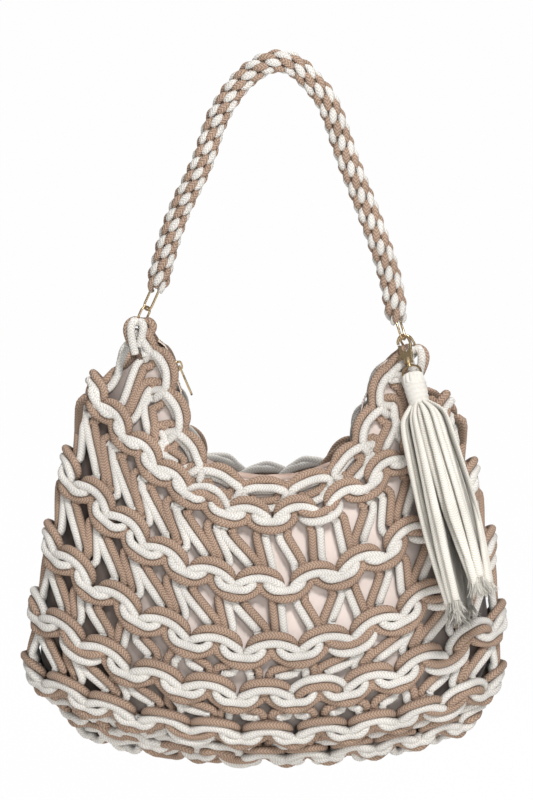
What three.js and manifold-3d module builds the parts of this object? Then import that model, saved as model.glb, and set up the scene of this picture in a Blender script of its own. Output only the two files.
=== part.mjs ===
// Crochet handbag: a net body of doubled cotton cord over a soft lining with a zipped mouth,
// a round braided handle, gold-plated links, a swivel snap hook and a cord tassel.
// Millimetres, +Z up, front towards -Y, +X to the right of the front.
// The origin is the underside of the handle's crown, where a hand or a peg holds the bag.

import * as THREE from "three";
import { mergeVertices } from "three/addons/utils/BufferGeometryUtils.js";
import Module from "manifold-3d";

const wasm = await Module();
wasm.setup();

// Driving sizes of the net body
const BAG_WIDTH = 389;
const BAG_HEIGHT = 360;
const BAG_DEPTH = 146;
const NET_THICKNESS = 13;
const STITCHES_AROUND = 20;
const BODY_SHIFT = -11.5;
const PEAK_BELOW_HANDLE = 4.3;
const RIM_LIP = 7.5;
const GAP_WALL = 4.4;
const LEAST_GAP_HEIGHT = 26;
const BOTTOM_SEAM_SHARE = 0.8;
const BOTTOM_SEAM_RISE = 20;

// Driving sizes of the lining and the zip
const LINING_THICKNESS = 1.6;
const LINING_SEAT = 0.6;
const LINING_SIDES = 24;
const ZIP_TAPE_THICKNESS = 1.4;
const ZIP_SLOT_WIDTH = 26;
const ZIP_SLOT_END_WIDTH = 0.4;
const ZIP_TAPE_EDGE = 2;
const ZIP_END_WIDTH = 9;
const ZIP_SINK = 4;
const ZIP_FULL_CLIMB = 0.6;
const ZIP_REACH = 1.06;
const ZIP_SLOT_REACH = 0.84;
const ZIP_STEPS = 24;
const ZIP_SLIDER_PLACE = 0.785;
const ZIP_SLIDER_LENGTH = 10;
const ZIP_SLIDER_WIDTH = 7.6;
const ZIP_SLIDER_HEIGHT = 3;
const ZIP_BRIDGE_HEIGHT = 3.8;
const ZIP_BRIDGE_WIDTH = 1.8;
const ZIP_BRIDGE_CORNER = 0.8;
const ZIP_PULL_LENGTH = 25;
const ZIP_PULL_TILT = 5;
const ZIP_PULL_WIDTH = 6;
const ZIP_PULL_THICKNESS = 1.4;

// Driving sizes of the handle
const HANDLE_DIAMETER = 18.6;
const HANDLE_SPAN = 191.6;
const HANDLE_HEIGHT = 208;
const BRAID_STEP = 6.6;
const BRAID_SIDES = 8;
const BRAID_DIP = 0.88;
const HANDLE_EYE_SETBACK = 4.5;

// Driving sizes of the metal pieces
const LINK_WIRE = 1.9;
const LINK_WIDTH = 11;
const LINK_PLAY = 0.4;
const LEFT_LINK_TURN = 50;
const RIGHT_LINK_TURN = -70;
const QUARTER_TURN = 90;
const PEAK_EYE_RADIUS = 7.2;
const PEAK_EYE_CORD = 6.4;
const HOOK_LENGTH = 25;
const HOOK_WIDTH = 12.4;
const HOOK_WIRE = 2.4;
const HOOK_BODY_DEPTH = 5;
const HOOK_SIDE_LEAN = 13.7;
const HOOK_FRONT_LEAN = 22;
const HOOK_TURN = -20;
const COLLAR_DIAMETER = 7.6;
const COLLAR_LENGTH = 5;
const SHANK_DIAMETER = 2.8;
const RIVET_DIAMETER = 4.6;
const EYE_RING_WIDTH = 17.6;
const EYE_RING_HEIGHT = 14.4;
const EYE_RING_WIRE = 2.2;
const GATE_THICKNESS = 1.6;
const PIN_DIAMETER = 1.6;

// Driving sizes of the tassel
const TASSEL_HEAD_DIAMETER = 17.6;
const TASSEL_HEAD_LENGTH = 26;
const TASSEL_LENGTH = 208;
const TASSEL_HEAD_DROP = 8.6;
const TASSEL_LAP = 2;
const TASSEL_SPREAD = 55;
const LOCK_THICKNESS = 11;
const LOCK_WIDTH_SHARE = 0.8;
const TASSEL_CORE_SHARE = 0.8;

// Where the lower links hook the net, measured from its peaks, and the share of the way there
// from the handle's eyes that the upper links take. The right one is drawn aside by the tassel.
// Aside is measured along the end wire of the link that the hook and the lower link hang in.
const LEFT_PEAK_REACH = [4.9, 0, 11.8];
const RIGHT_PEAK_REACH = [-1, -2, 8.2];
const LEFT_LINK_SHARE = 0.677;
const RIGHT_LINK_SHARE = 0.68;
const LEFT_LINK_DRAW = [0, 0, 0];
const RIGHT_LINK_DRAW = [-2.4, -5.8, 0];
const LINK_ASIDE = 1.5;
const HOOK_ASIDE = 1.5;
const EYE_RING_GAP = 0.5;

// Clearances between pieces that touch or turn in each other
const TOUCH = 0.3;
const RUNNING = 0.35;

// Smallest distance at which two corners of a mesh count as one
const SAME_POINT = 1e-4;

// The net's courses from the mouth down. left and right are reaches and depth is the half depth,
// as shares of half the width and depth; the drops are shares of the height, measured from the
// left peak; pinch is the power that flattens the section towards its two sides.
const COURSES = [
  { left: 0.555, right: 0.625, leftDrop: 0.02, rightDrop: 0.073, frontDrop: 0.353, depth: 0.48, pinch: 2.5 },
  { left: 0.748, right: 0.795, leftDrop: 0.14, rightDrop: 0.184, frontDrop: 0.425, depth: 0.65, pinch: 1.8 },
  { left: 0.856, right: 0.892, leftDrop: 0.322, rightDrop: 0.345, frontDrop: 0.573, depth: 0.86, pinch: 1.4 },
  { left: 0.93, right: 0.962, leftDrop: 0.494, rightDrop: 0.505, frontDrop: 0.72, depth: 1, pinch: 1.15 },
  { left: 0.985, right: 1, leftDrop: 0.654, rightDrop: 0.679, frontDrop: 0.825, depth: 0.97, pinch: 1 },
  { left: 1, right: 0.985, leftDrop: 0.803, rightDrop: 0.825, frontDrop: 0.92, depth: 0.82, pinch: 1 },
  { left: 0.87, right: 0.885, leftDrop: 0.88, rightDrop: 0.912, frontDrop: 0.982, depth: 0.52, pinch: 1 },
];
const LAST_COURSE = COURSES.length - 1;

// How the mouth's edge climbs from its lowest place (rise 0) to a peak (rise 1) with the
// share of the reach to that side.
const MOUTH_CLIMB = [
  { reach: 0, rise: 0 },
  { reach: 0.25, rise: 0.03 },
  { reach: 0.5, rise: 0.15 },
  { reach: 0.6, rise: 0.3 },
  { reach: 0.7, rise: 0.52 },
  { reach: 0.83, rise: 0.88 },
  { reach: 1, rise: 1 },
];

// The corners of one stitch's cell, across (share of a stitch) and down (share of a course),
// and the corners of the gap inside it in the same order.
const CELL_EDGE = [
  { across: -0.5, down: 0 },
  { across: 0, down: 0 },
  { across: 0.5, down: 0 },
  { across: 0.5, down: 0.5 },
  { across: 0.5, down: 1 },
  { across: 0, down: 1 },
  { across: -0.5, down: 1 },
  { across: -0.5, down: 0.5 },
];
const GAP_EDGE = [
  { across: -0.29, down: 0.24 },
  { across: 0, down: 0.17 },
  { across: 0.29, down: 0.24 },
  { across: 0.28, down: 0.5 },
  { across: 0.18, down: 0.78 },
  { across: 0, down: 0.83 },
  { across: -0.18, down: 0.78 },
  { across: -0.28, down: 0.5 },
];

// The lining's rings: course it follows, its reach and depth as shares of the net's, and its
// lift towards the mouth as a share of the net's thickness.
const LINING_RINGS = [
  { course: 0, reach: 0.72, depth: 0.6, lift: -0.5 },
  { course: 1, reach: 0.8, depth: 0.72, lift: -0.1 },
  { course: 2, reach: 0.88, depth: 0.79, lift: 0 },
  { course: 3, reach: 0.92, depth: 0.85, lift: 0 },
  { course: 4, reach: 0.935, depth: 0.86, lift: 0.15 },
  { course: 5, reach: 0.93, depth: 0.82, lift: 0.45 },
  { course: 6, reach: 0.88, depth: 0.68, lift: 0.7 },
];

// The handle's centre line, across from the crown as a share of the span, and down from it as
// a share of the height, with how far it leans to the front as a share of its diameter.
const HANDLE_LINE = [
  { across: -0.513, down: 0.882, front: 0 },
  { across: -0.507, down: 0.84, front: 0 },
  { across: -0.457, down: 0.672, front: 0 },
  { across: -0.409, down: 0.553, front: 0 },
  { across: -0.322, down: 0.384, front: 0 },
  { across: -0.259, down: 0.216, front: 0 },
  { across: -0.171, down: 0.088, front: 0 },
  { across: -0.075, down: 0.016, front: 0 },
  { across: 0, down: 0, front: 0 },
  { across: 0.06, down: 0.017, front: 0 },
  { across: 0.117, down: 0.064, front: 0 },
  { across: 0.2, down: 0.165, front: 0 },
  { across: 0.28, down: 0.376, front: 0 },
  { across: 0.372, down: 0.594, front: 0.05 },
  { across: 0.453, down: 0.816, front: 0.12 },
  { across: 0.489, down: 1, front: 0.16 },
];

// The tassel's outer form from its head down: distance from the head's foot and radius, as
// shares of the skirt's length and of half its spread.
const SKIRT_FORM = [
  { down: 0, radius: 0.2 },
  { down: 0.12, radius: 0.36 },
  { down: 0.3, radius: 0.58 },
  { down: 0.62, radius: 0.8 },
  { down: 1, radius: 0.82 },
];

// How far each lock of the skirt reaches down, in turn from the right, as a share of its length.
const LOCK_REACHES = [0.94, 0.9, 0.96, 1, 0.97, 1, 0.95, 0.91, 0.88];

// The tassel's head: distance from its top and radius, as shares of its length and radius.
const TASSEL_HEAD_FORM = [
  { down: 1, reach: 0 },
  { down: 1, reach: 0.87 },
  { down: 0.65, reach: 0.94 },
  { down: 0.32, reach: 1 },
  { down: 0.19, reach: 0.97 },
  { down: 0.06, reach: 0.78 },
  { down: 0, reach: 0.48 },
  { down: 0, reach: 0 },
];

// The snap hook's bow, its cheeks and its sprung gate, as shares of half the bow's width across
// and of the hook's length up from the collar.
const BOW_LINE = [
  { across: 0.72, up: 0.42 },
  { across: 0.98, up: 0.56 },
  { across: 0.98, up: 0.74 },
  { across: 0.64, up: 0.89 },
  { across: 0, up: 0.952 },
  { across: -0.62, up: 0.89 },
  { across: -0.94, up: 0.776 },
  { across: -0.97, up: 0.7 },
];
const HOOK_BODY = [
  { across: -0.68, up: 0.172 },
  { across: 0.72, up: 0.172 },
  { across: 0.9, up: 0.32 },
  { across: 0.94, up: 0.46 },
  { across: 0.52, up: 0.46 },
  { across: 0.24, up: 0.385 },
  { across: -0.68, up: 0.375 },
];
const GATE_OUTLINE = [
  { across: -0.06, up: 0.24 },
  { across: -0.08, up: 0.344 },
  { across: -0.52, up: 0.432 },
  { across: -0.74, up: 0.664 },
  { across: -1.1, up: 0.664 },
  { across: -1.02, up: 0.416 },
  { across: -1.08, up: 0.356 },
  { across: -1.72, up: 0.324 },
  { across: -1.72, up: 0.252 },
  { across: -1.04, up: 0.24 },
  { across: -0.64, up: 0.224 },
];

const NET_WIDTH = BAG_WIDTH - NET_THICKNESS;
const NET_DEPTH = BAG_DEPTH - NET_THICKNESS;
const NET_HEIGHT = BAG_HEIGHT - NET_THICKNESS;
const NET_TOP = HANDLE_DIAMETER / 2 - HANDLE_HEIGHT - PEAK_BELOW_HANDLE;
const HALF_CELLS = 2 * STITCHES_AROUND;

const METAL = { color: 0xc9a76d, roughness: 0.22, metalness: 1 };
const TAUPE_CORD = { color: 0xaa8c76, roughness: 0.85, metalness: 0 };
const IVORY_CORD = { color: 0xeeece6, roughness: 0.85, metalness: 0 };
const LINING_CLOTH = { color: 0xe8dad2, roughness: 0.9, metalness: 0 };
const ZIP_CLOTH = { color: 0xb9ab9c, roughness: 0.8, metalness: 0 };

// Small helpers

function mix(a, b, share) {
  return a + (b - a) * share;
}

function readTable(table, key, value, column) {
  const last = table.length - 1;
  let i = 0;
  while (i < last - 1 && value > table[i + 1][key]) {
    i += 1;
  }
  const share = (value - table[i][key]) / (table[i + 1][key] - table[i][key]);
  return mix(table[i][column], table[i + 1][column], share);
}

function courseValue(course, column) {
  const i = Math.min(LAST_COURSE - 1, Math.max(0, Math.floor(course)));
  return mix(COURSES[i][column], COURSES[i + 1][column], course - i);
}

function toSolid(geometry) {
  const bare = geometry.clone();
  bare.deleteAttribute("normal");
  bare.deleteAttribute("uv");
  const merged = mergeVertices(bare, SAME_POINT);
  const mesh = new wasm.Mesh({
    numProp: 3,
    vertProperties: merged.attributes.position.array,
    triVerts: new Uint32Array(merged.index.array),
  });
  return new wasm.Manifold(mesh);
}

function toGeometry(solid) {
  const mesh = solid.getMesh();
  const geometry = new THREE.BufferGeometry();
  geometry.setAttribute("position", new THREE.BufferAttribute(mesh.vertProperties, 3));
  geometry.setIndex(new THREE.BufferAttribute(mesh.triVerts, 1));
  geometry.computeVertexNormals();
  return geometry;
}

function join(geometries) {
  const solids = geometries.map(toSolid);
  return toGeometry(solids.reduce((whole, next) => whole.add(next)));
}

function cut(geometry, cutters) {
  return toGeometry(cutters.map(toSolid).reduce((whole, next) => whole.subtract(next), toSolid(geometry)));
}

// A mesh from a list of triangles, each three points seen counter-clockwise from outside.
function fromTriangles(triangles) {
  const points = triangles.flat();
  return mergeVertices(new THREE.BufferGeometry().setFromPoints(points), SAME_POINT);
}

function addQuad(triangles, a, b, c, d) {
  triangles.push([a, b, c]);
  triangles.push([a, c, d]);
}

// A closed solid through rings of points, each counter-clockwise seen from the last ring.
function loft(rings) {
  const count = rings[0].length;
  const last = rings[rings.length - 1];
  const triangles = [];
  for (let i = 0; i < rings.length - 1; i += 1) {
    for (let k = 0; k < count; k += 1) {
      const next = (k + 1) % count;
      addQuad(triangles, rings[i][k], rings[i][next], rings[i + 1][next], rings[i + 1][k]);
    }
  }
  for (let k = 1; k < count - 1; k += 1) {
    triangles.push([rings[0][0], rings[0][k + 1], rings[0][k]]);
    triangles.push([last[0], last[k], last[k + 1]]);
  }
  return fromTriangles(triangles);
}

function cylinder(diameter, from, to, sides) {
  const geometry = new THREE.CylinderGeometry(diameter / 2, diameter / 2, to - from, sides);
  return geometry.rotateX(Math.PI / 2).translate(0, 0, (from + to) / 2);
}

function plate(points, thickness) {
  const shape = new THREE.Shape(points.map(([x, z]) => new THREE.Vector2(x, z)));
  const geometry = new THREE.ExtrudeGeometry(shape, { depth: thickness, bevelEnabled: false });
  return geometry.translate(0, 0, -thickness / 2).rotateX(Math.PI / 2);
}

function box(x0, x1, y0, y1, z0, z1) {
  const geometry = new THREE.BoxGeometry(x1 - x0, y1 - y0, z1 - z0);
  return geometry.translate((x0 + x1) / 2, (y0 + y1) / 2, (z0 + z1) / 2);
}

function piece(name, geometry, look) {
  const mesh = new THREE.Mesh(geometry, new THREE.MeshStandardMaterial(look));
  mesh.name = name;
  return mesh;
}

// The bag's middle surface

// A point of the net's middle surface at an angle round the bag: 0 is the middle of the
// front, a quarter turn the right side, half a turn the middle of the back.
function surfacePoint(angle, course) {
  const across = Math.sin(angle);
  const along = Math.cos(angle);
  const side = Math.abs(across);
  const right = across > 0;
  const reach = (courseValue(course, right ? "right" : "left") * NET_WIDTH) / 2;
  const sideDrop = courseValue(course, right ? "rightDrop" : "leftDrop");
  const frontDrop = courseValue(course, "frontDrop");
  const climb = mix(readTable(MOUTH_CLIMB, "reach", side, "rise"), side * side, Math.min(course, 1));
  const half = (courseValue(course, "depth") * NET_DEPTH) / 2;
  const pinched = Math.sign(along) * Math.abs(along) ** courseValue(course, "pinch");
  return new THREE.Vector3(
    BODY_SHIFT + reach * across,
    -half * pinched,
    NET_TOP - NET_HEIGHT * mix(frontDrop, sideDrop, climb),
  );
}

const ANGLE_STEPS = 240;
const turnTables = new Map();

// Angles at even steps of length round one half of a course: the right half, or the left.
function turnTable(course, half) {
  const key = course.toFixed(4) + half;
  if (!turnTables.has(key)) {
    const table = [{ share: 0, angle: half * Math.PI }];
    let length = 0;
    let before = surfacePoint(half * Math.PI, course);
    for (let i = 1; i <= ANGLE_STEPS; i += 1) {
      const angle = (half + i / ANGLE_STEPS) * Math.PI;
      const here = surfacePoint(angle, course);
      length += here.distanceTo(before);
      table.push({ share: length, angle });
      before = here;
    }
    table.forEach((row) => {
      row.share /= length;
    });
    turnTables.set(key, table);
  }
  return turnTables.get(key);
}

// A point of the middle surface at a share of the way round (0 to 1 from the front's middle).
function bagPoint(share, course) {
  const turn = share - Math.floor(share);
  const half = turn < 0.5 ? 0 : 1;
  const angle = readTable(turnTable(course, half), "share", 2 * turn - half, "angle");
  return surfacePoint(angle, course);
}

function bagNormal(share, course) {
  const step = 1 / (8 * STITCHES_AROUND);
  const low = Math.min(LAST_COURSE - 0.1, Math.max(0, course - 0.05));
  const down = bagPoint(share, low + 0.1).sub(bagPoint(share, low));
  const round = bagPoint(share + step, course).sub(bagPoint(share - step, course));
  return down.cross(round).normalize();
}

function netPoint(share, course, out) {
  return bagPoint(share, course).addScaledVector(bagNormal(share, course), out);
}

// Net body

function stitchHeight(stitch, course) {
  const share = stitch / STITCHES_AROUND;
  return bagPoint(share, course).distanceTo(bagPoint(share, course + 1));
}

function hasGap(stitch, course) {
  const open = course < LAST_COURSE - 1;
  return open && stitchHeight(stitch, course) > LEAST_GAP_HEIGHT;
}

// Outer and inner corner of the net at a corner of a stitch's cell. The rows of loops are
// full thickness, and the legs between them are slimmer and lie further in.
function cellCorner(stitch, course, corner) {
  const share = (stitch + corner.across) / STITCHES_AROUND;
  const leg = corner.down === 0.5;
  const outer = (leg ? 0.2 : 0.5) * NET_THICKNESS;
  const inner = (leg ? -0.38 : -0.5) * NET_THICKNESS;
  return {
    outer: netPoint(share, course + corner.down, outer),
    inner: netPoint(share, course + corner.down, inner),
  };
}

function gapCorner(stitch, course, corner) {
  const share = (stitch + corner.across) / STITCHES_AROUND;
  const middle = corner.down === 0.5 ? -0.1 * NET_THICKNESS : 0;
  return {
    outer: netPoint(share, course + corner.down, middle + GAP_WALL / 2),
    inner: netPoint(share, course + corner.down, middle - GAP_WALL / 2),
  };
}

function addGapCell(triangles, stitch, course) {
  const edge = CELL_EDGE.map((corner) => cellCorner(stitch, course, corner));
  const gap = GAP_EDGE.map((corner) => gapCorner(stitch, course, corner));
  edge.forEach((a, k) => {
    const next = (k + 1) % edge.length;
    const b = edge[next];
    addQuad(triangles, a.outer, gap[k].outer, gap[next].outer, b.outer);
    addQuad(triangles, a.inner, b.inner, gap[next].inner, gap[k].inner);
    addQuad(triangles, gap[k].outer, gap[k].inner, gap[next].inner, gap[next].outer);
  });
}

function addFullCell(triangles, stitch, course) {
  const edge = CELL_EDGE.map((corner) => cellCorner(stitch, course, corner));
  const share = stitch / STITCHES_AROUND;
  const outer = netPoint(share, course + 0.5, 0.25 * NET_THICKNESS);
  const inner = netPoint(share, course + 0.5, -0.35 * NET_THICKNESS);
  edge.forEach((a, k) => {
    const b = edge[(k + 1) % edge.length];
    triangles.push([a.outer, outer, b.outer]);
    triangles.push([a.inner, b.inner, inner]);
  });
}

// The rounded lip along the mouth, above the first row of loops.
function addLip(triangles) {
  const corners = [];
  for (let k = 0; k < HALF_CELLS; k += 1) {
    const share = k / HALF_CELLS;
    const up = bagPoint(share, 0).sub(bagPoint(share, 0.1)).normalize();
    corners.push({
      outer: netPoint(share, 0, 0.5 * NET_THICKNESS),
      inner: netPoint(share, 0, -0.5 * NET_THICKNESS),
      lip: bagPoint(share, 0).addScaledVector(up, RIM_LIP),
    });
  }
  corners.forEach((a, k) => {
    const b = corners[(k + 1) % corners.length];
    addQuad(triangles, a.outer, b.outer, b.lip, a.lip);
    addQuad(triangles, a.lip, b.lip, b.inner, a.inner);
  });
}

// Of count corners round the bag, the front one that corner k faces across the bottom seam.
function facingCorner(k, count) {
  const behind = k > count / 4 && k < (3 * count) / 4;
  return behind ? (count + count / 2 - k) % count : k;
}

// Height of the seam under the bag, which rises towards its two ends.
function bottomHeight(x) {
  const share = Math.abs(x - BODY_SHIFT) / (0.5 * NET_WIDTH);
  return NET_TOP - NET_HEIGHT + BOTTOM_SEAM_RISE * (share / BOTTOM_SEAM_SHARE) ** 3;
}

// The last course closed to a seam under the bag.
function addBottom(triangles) {
  const corners = [];
  for (let k = 0; k < HALF_CELLS; k += 1) {
    const facing = bagPoint(facingCorner(k, HALF_CELLS) / HALF_CELLS, LAST_COURSE);
    const x = mix(BODY_SHIFT, facing.x, BOTTOM_SEAM_SHARE);
    const z = bottomHeight(x);
    corners.push({
      outer: netPoint(k / HALF_CELLS, LAST_COURSE, 0.5 * NET_THICKNESS),
      inner: netPoint(k / HALF_CELLS, LAST_COURSE, -0.5 * NET_THICKNESS),
      seamOuter: new THREE.Vector3(x, 0, z - NET_THICKNESS / 2),
      seamInner: new THREE.Vector3(x, 0, z + NET_THICKNESS / 2),
    });
  }
  corners.forEach((a, k) => {
    const b = corners[(k + 1) % corners.length];
    addQuad(triangles, a.outer, a.seamOuter, b.seamOuter, b.outer);
    addQuad(triangles, a.inner, b.inner, b.seamInner, a.seamInner);
  });
}

// The loop of cord at a peak that a link hooks through. The link's wire lies against the
// loop's upper side.
function peakEye(link) {
  const ring = new THREE.TorusGeometry(PEAK_EYE_RADIUS, PEAK_EYE_CORD / 2, 6, 12);
  const drop = PEAK_EYE_RADIUS - (PEAK_EYE_CORD + LINK_WIRE) / 2 - TOUCH;
  const middle = link.to.clone().addScaledVector(link.along, drop);
  ring.applyQuaternion(new THREE.Quaternion().setFromUnitVectors(new THREE.Vector3(0, 0, 1), link.across));
  return ring.translate(middle.x, middle.y, middle.z);
}

function netBody(peakLinks) {
  const triangles = [];
  for (let course = 0; course < LAST_COURSE; course += 1) {
    for (let stitch = 0; stitch < STITCHES_AROUND; stitch += 1) {
      const add = hasGap(stitch, course) ? addGapCell : addFullCell;
      add(triangles, stitch, course);
    }
  }
  addLip(triangles);
  addBottom(triangles);
  return piece("net_body", join([fromTriangles(triangles), ...peakLinks.map(peakEye)]), TAUPE_CORD);
}

// Lining

// A corner of the lining, whose section is a plain oval as high as the net at the same place
// across; inset is measured in from its outer face.
function liningPoint(k, ring, inset) {
  const angle = (2 * Math.PI * k) / LINING_SIDES;
  const across = Math.sin(angle);
  const onNet = surfacePoint(Math.asin(ring.reach * across), ring.course);
  const side = across > 0 ? "right" : "left";
  const reach = (courseValue(ring.course, side) * NET_WIDTH * ring.reach) / 2 - inset;
  const depth = (courseValue(ring.course, "depth") * NET_DEPTH * ring.depth) / 2 - inset;
  return new THREE.Vector3(
    BODY_SHIFT + reach * across,
    -depth * Math.cos(angle),
    onNet.z + ring.lift * NET_THICKNESS,
  );
}

// The rings of one face of the lining, the last of them its seam along the bottom.
function liningFace(inset) {
  const corners = Array.from({ length: LINING_SIDES }, (_, k) => k);
  const rings = LINING_RINGS.map((ring) => corners.map((k) => liningPoint(k, ring, inset)));
  const last = rings[rings.length - 1];
  rings.push(corners.map((k) => {
    const x = mix(BODY_SHIFT, last[facingCorner(k, LINING_SIDES)].x, BOTTOM_SEAM_SHARE);
    return new THREE.Vector3(x, 0, bottomHeight(x) + NET_THICKNESS / 2 + LINING_SEAT + inset);
  }));
  return rings;
}

function lining() {
  const outer = liningFace(0);
  const inner = liningFace(LINING_THICKNESS);
  const triangles = [];
  for (let k = 0; k < LINING_SIDES; k += 1) {
    const next = (k + 1) % LINING_SIDES;
    for (let i = 0; i < outer.length - 1; i += 1) {
      addQuad(triangles, outer[i][k], outer[i + 1][k], outer[i + 1][next], outer[i][next]);
      addQuad(triangles, inner[i][k], inner[i][next], inner[i + 1][next], inner[i + 1][k]);
    }
    addQuad(triangles, outer[0][k], outer[0][next], inner[0][next], inner[0][k]);
  }
  return piece("lining", fromTriangles(triangles), LINING_CLOTH);
}

// Zip

// The line under the zip's middle: along the mouth's edge, lower between the two rims in the
// middle of the bag and above their lips near the peaks.
function zipStation(angle) {
  const step = 0.02;
  const here = surfacePoint(angle, 0);
  const before = surfacePoint(angle - step, 0);
  const after = surfacePoint(angle + step, 0);
  const along = new THREE.Vector3(after.x - before.x, 0, after.z - before.z).normalize();
  const up = new THREE.Vector3(-along.z, 0, along.x);
  const climb = readTable(MOUTH_CLIMB, "reach", Math.abs(Math.sin(angle)), "rise");
  const rise = mix(-ZIP_SINK, RIM_LIP + ZIP_TAPE_THICKNESS / 2 + TOUCH, Math.min(1, climb / ZIP_FULL_CLIMB));
  const middle = new THREE.Vector3(here.x, 0, here.z).addScaledVector(up, rise);
  const room = Math.abs(here.y) - NET_THICKNESS / 2 - ZIP_TAPE_THICKNESS;
  return { middle, along, up, room, climb };
}

function tapeRing(station, halfWidth, halfThickness) {
  const corners = [
    [1, 1],
    [-1, 1],
    [-1, -1],
    [1, -1],
  ];
  return corners.map(([side, face]) => {
    const point = station.middle.clone().addScaledVector(station.up, face * halfThickness);
    point.y = side * halfWidth;
    return point;
  });
}

function zipStations(reach, count) {
  const stations = [];
  for (let i = 0; i <= count; i += 1) {
    const share = (2 * i) / count - 1;
    stations.push({ ...zipStation(reach * share), share });
  }
  return stations;
}

// One tape with a long slot in it: the zip is drawn open, with its slider at the left end.
function zipTape() {
  const tape = zipStations(ZIP_REACH, ZIP_STEPS).map((station) => {
    const halfWidth = Math.max(ZIP_END_WIDTH / 2, station.room);
    return tapeRing(station, halfWidth, ZIP_TAPE_THICKNESS / 2);
  });
  const slot = zipStations(ZIP_SLOT_REACH, ZIP_STEPS).map((station) => {
    const least = ZIP_SLOT_END_WIDTH / 2;
    const halfWidth = least + (ZIP_SLOT_WIDTH / 2) * (1 - station.share ** 2);
    const most = Math.max(least, station.room - ZIP_TAPE_EDGE);
    return tapeRing(station, Math.min(halfWidth, most), 2 * ZIP_TAPE_THICKNESS);
  });
  return piece("zip_tape", cut(loft(tape), [loft(slot)]), ZIP_CLOTH);
}

// The slider lies on the tape near the left peak, with a bridge that its pull hangs on. Its own
// frame has +X out of the tape and +Z up along the zip.
const sliderStation = zipStation(-Math.asin(ZIP_SLIDER_PLACE));
const sliderFrame = new THREE.Group();
sliderFrame.position.copy(sliderStation.middle);
sliderFrame.position.addScaledVector(sliderStation.up, ZIP_TAPE_THICKNESS / 2 + TOUCH);
sliderFrame.rotation.y = Math.atan2(-sliderStation.up.z, sliderStation.up.x);

function zipSlider() {
  const half = ZIP_SLIDER_LENGTH / 2;
  const top = ZIP_SLIDER_HEIGHT;
  const body = [
    [0, -half],
    [0.6 * top, -half],
    [top, -0.7 * half],
    [top, 0.7 * half],
    [0.6 * top, half],
    [0, half],
  ];
  const crown = top + ZIP_BRIDGE_HEIGHT;
  const bridge = [
    [0.8 * top, -0.84 * half],
    [crown - ZIP_BRIDGE_CORNER, -0.66 * half],
    [crown, -0.3 * half],
    [crown, 0.3 * half],
    [crown - ZIP_BRIDGE_CORNER, 0.66 * half],
    [0.8 * top, 0.84 * half],
    [0.8 * top, 0.54 * half],
    [top + 0.62 * ZIP_BRIDGE_HEIGHT, 0.3 * half],
    [top + 0.62 * ZIP_BRIDGE_HEIGHT, -0.3 * half],
    [0.8 * top, -0.54 * half],
  ];
  const made = join([plate(body, ZIP_SLIDER_WIDTH), plate(bridge, ZIP_BRIDGE_WIDTH)]);
  return piece("zip_slider", made, METAL);
}

// The pull's frame has its hinge at the origin, under the slider's bridge, and hangs along -Z.
const pullFrame = new THREE.Group();
pullFrame.position.set(ZIP_SLIDER_HEIGHT + ZIP_PULL_THICKNESS / 2 + TOUCH, 0, -0.1 * ZIP_SLIDER_LENGTH);
pullFrame.rotation.y = -THREE.MathUtils.degToRad(ZIP_PULL_TILT);

function zipPull() {
  const half = ZIP_PULL_WIDTH / 2;
  const bar = ZIP_PULL_THICKNESS / 2;
  const outline = [
    [-0.7 * half, bar],
    [-0.7 * half, -0.3 * ZIP_PULL_LENGTH],
    [-half, -0.45 * ZIP_PULL_LENGTH],
    [-half, -0.94 * ZIP_PULL_LENGTH],
    [-0.6 * half, -ZIP_PULL_LENGTH],
    [0.6 * half, -ZIP_PULL_LENGTH],
    [half, -0.94 * ZIP_PULL_LENGTH],
    [half, -0.45 * ZIP_PULL_LENGTH],
    [0.7 * half, -0.3 * ZIP_PULL_LENGTH],
    [0.7 * half, bar],
  ];
  const blade = plate(outline, ZIP_PULL_THICKNESS).rotateZ(Math.PI / 2);
  const room = ZIP_BRIDGE_WIDTH / 2 + RUNNING;
  const window = box(-2, 2, -room, room, -0.26 * ZIP_PULL_LENGTH, -bar);
  return piece("zip_pull", cut(blade, [window]), METAL);
}

// Handle

const handleCurve = new THREE.CatmullRomCurve3(HANDLE_LINE.map((row) => new THREE.Vector3(
  row.across * HANDLE_SPAN,
  -row.front * HANDLE_DIAMETER,
  HANDLE_DIAMETER / 2 - row.down * HANDLE_HEIGHT,
)));

// The centre of the eye at an end of the handle: end 0 is the left one and end 1 the right one.
function handleEye(end) {
  const setback = HANDLE_EYE_SETBACK / handleCurve.getLength();
  return handleCurve.getPointAt(Math.abs(end - setback));
}

// The braid's outer form: a round rope whose plaits stand up and dip in turn.
function handleBraid(links) {
  const count = Math.round(handleCurve.getLength() / BRAID_STEP);
  const frames = handleCurve.computeFrenetFrames(count, false);
  const rings = [];
  for (let i = 0; i <= count; i += 1) {
    const middle = handleCurve.getPointAt(i / count);
    const fromEnd = Math.min(i, count - i);
    const rounded = [0.55, 0.9][fromEnd] ?? 1;
    const ring = [];
    for (let k = 0; k < BRAID_SIDES; k += 1) {
      const angle = (2 * Math.PI * k) / BRAID_SIDES;
      const plait = (i + k) % 2 === 0 ? 1 : BRAID_DIP;
      const radius = (HANDLE_DIAMETER / 2) * rounded * plait;
      const point = middle.clone().addScaledVector(frames.normals[i], radius * Math.cos(angle));
      ring.push(point.addScaledVector(frames.binormals[i], radius * Math.sin(angle)));
    }
    rings.push(ring);
  }
  const eyes = links.map((link) => linkLoop(link, LINK_WIRE + 2 * TOUCH));
  return piece("handle_braid", cut(loft(rings), eyes), TAUPE_CORD);
}

// Links

// An oval link between two points. turn is how far its flat side is turned out of the front
// view; across is then the direction in which its two end wires run.
function linkBetween(from, to, turn) {
  const along = to.clone().sub(from).normalize();
  const flat = new THREE.Vector3(0, 1, 0).cross(along).normalize();
  const across = flat.applyAxisAngle(along, THREE.MathUtils.degToRad(turn));
  return { from, to, along, across };
}

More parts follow.
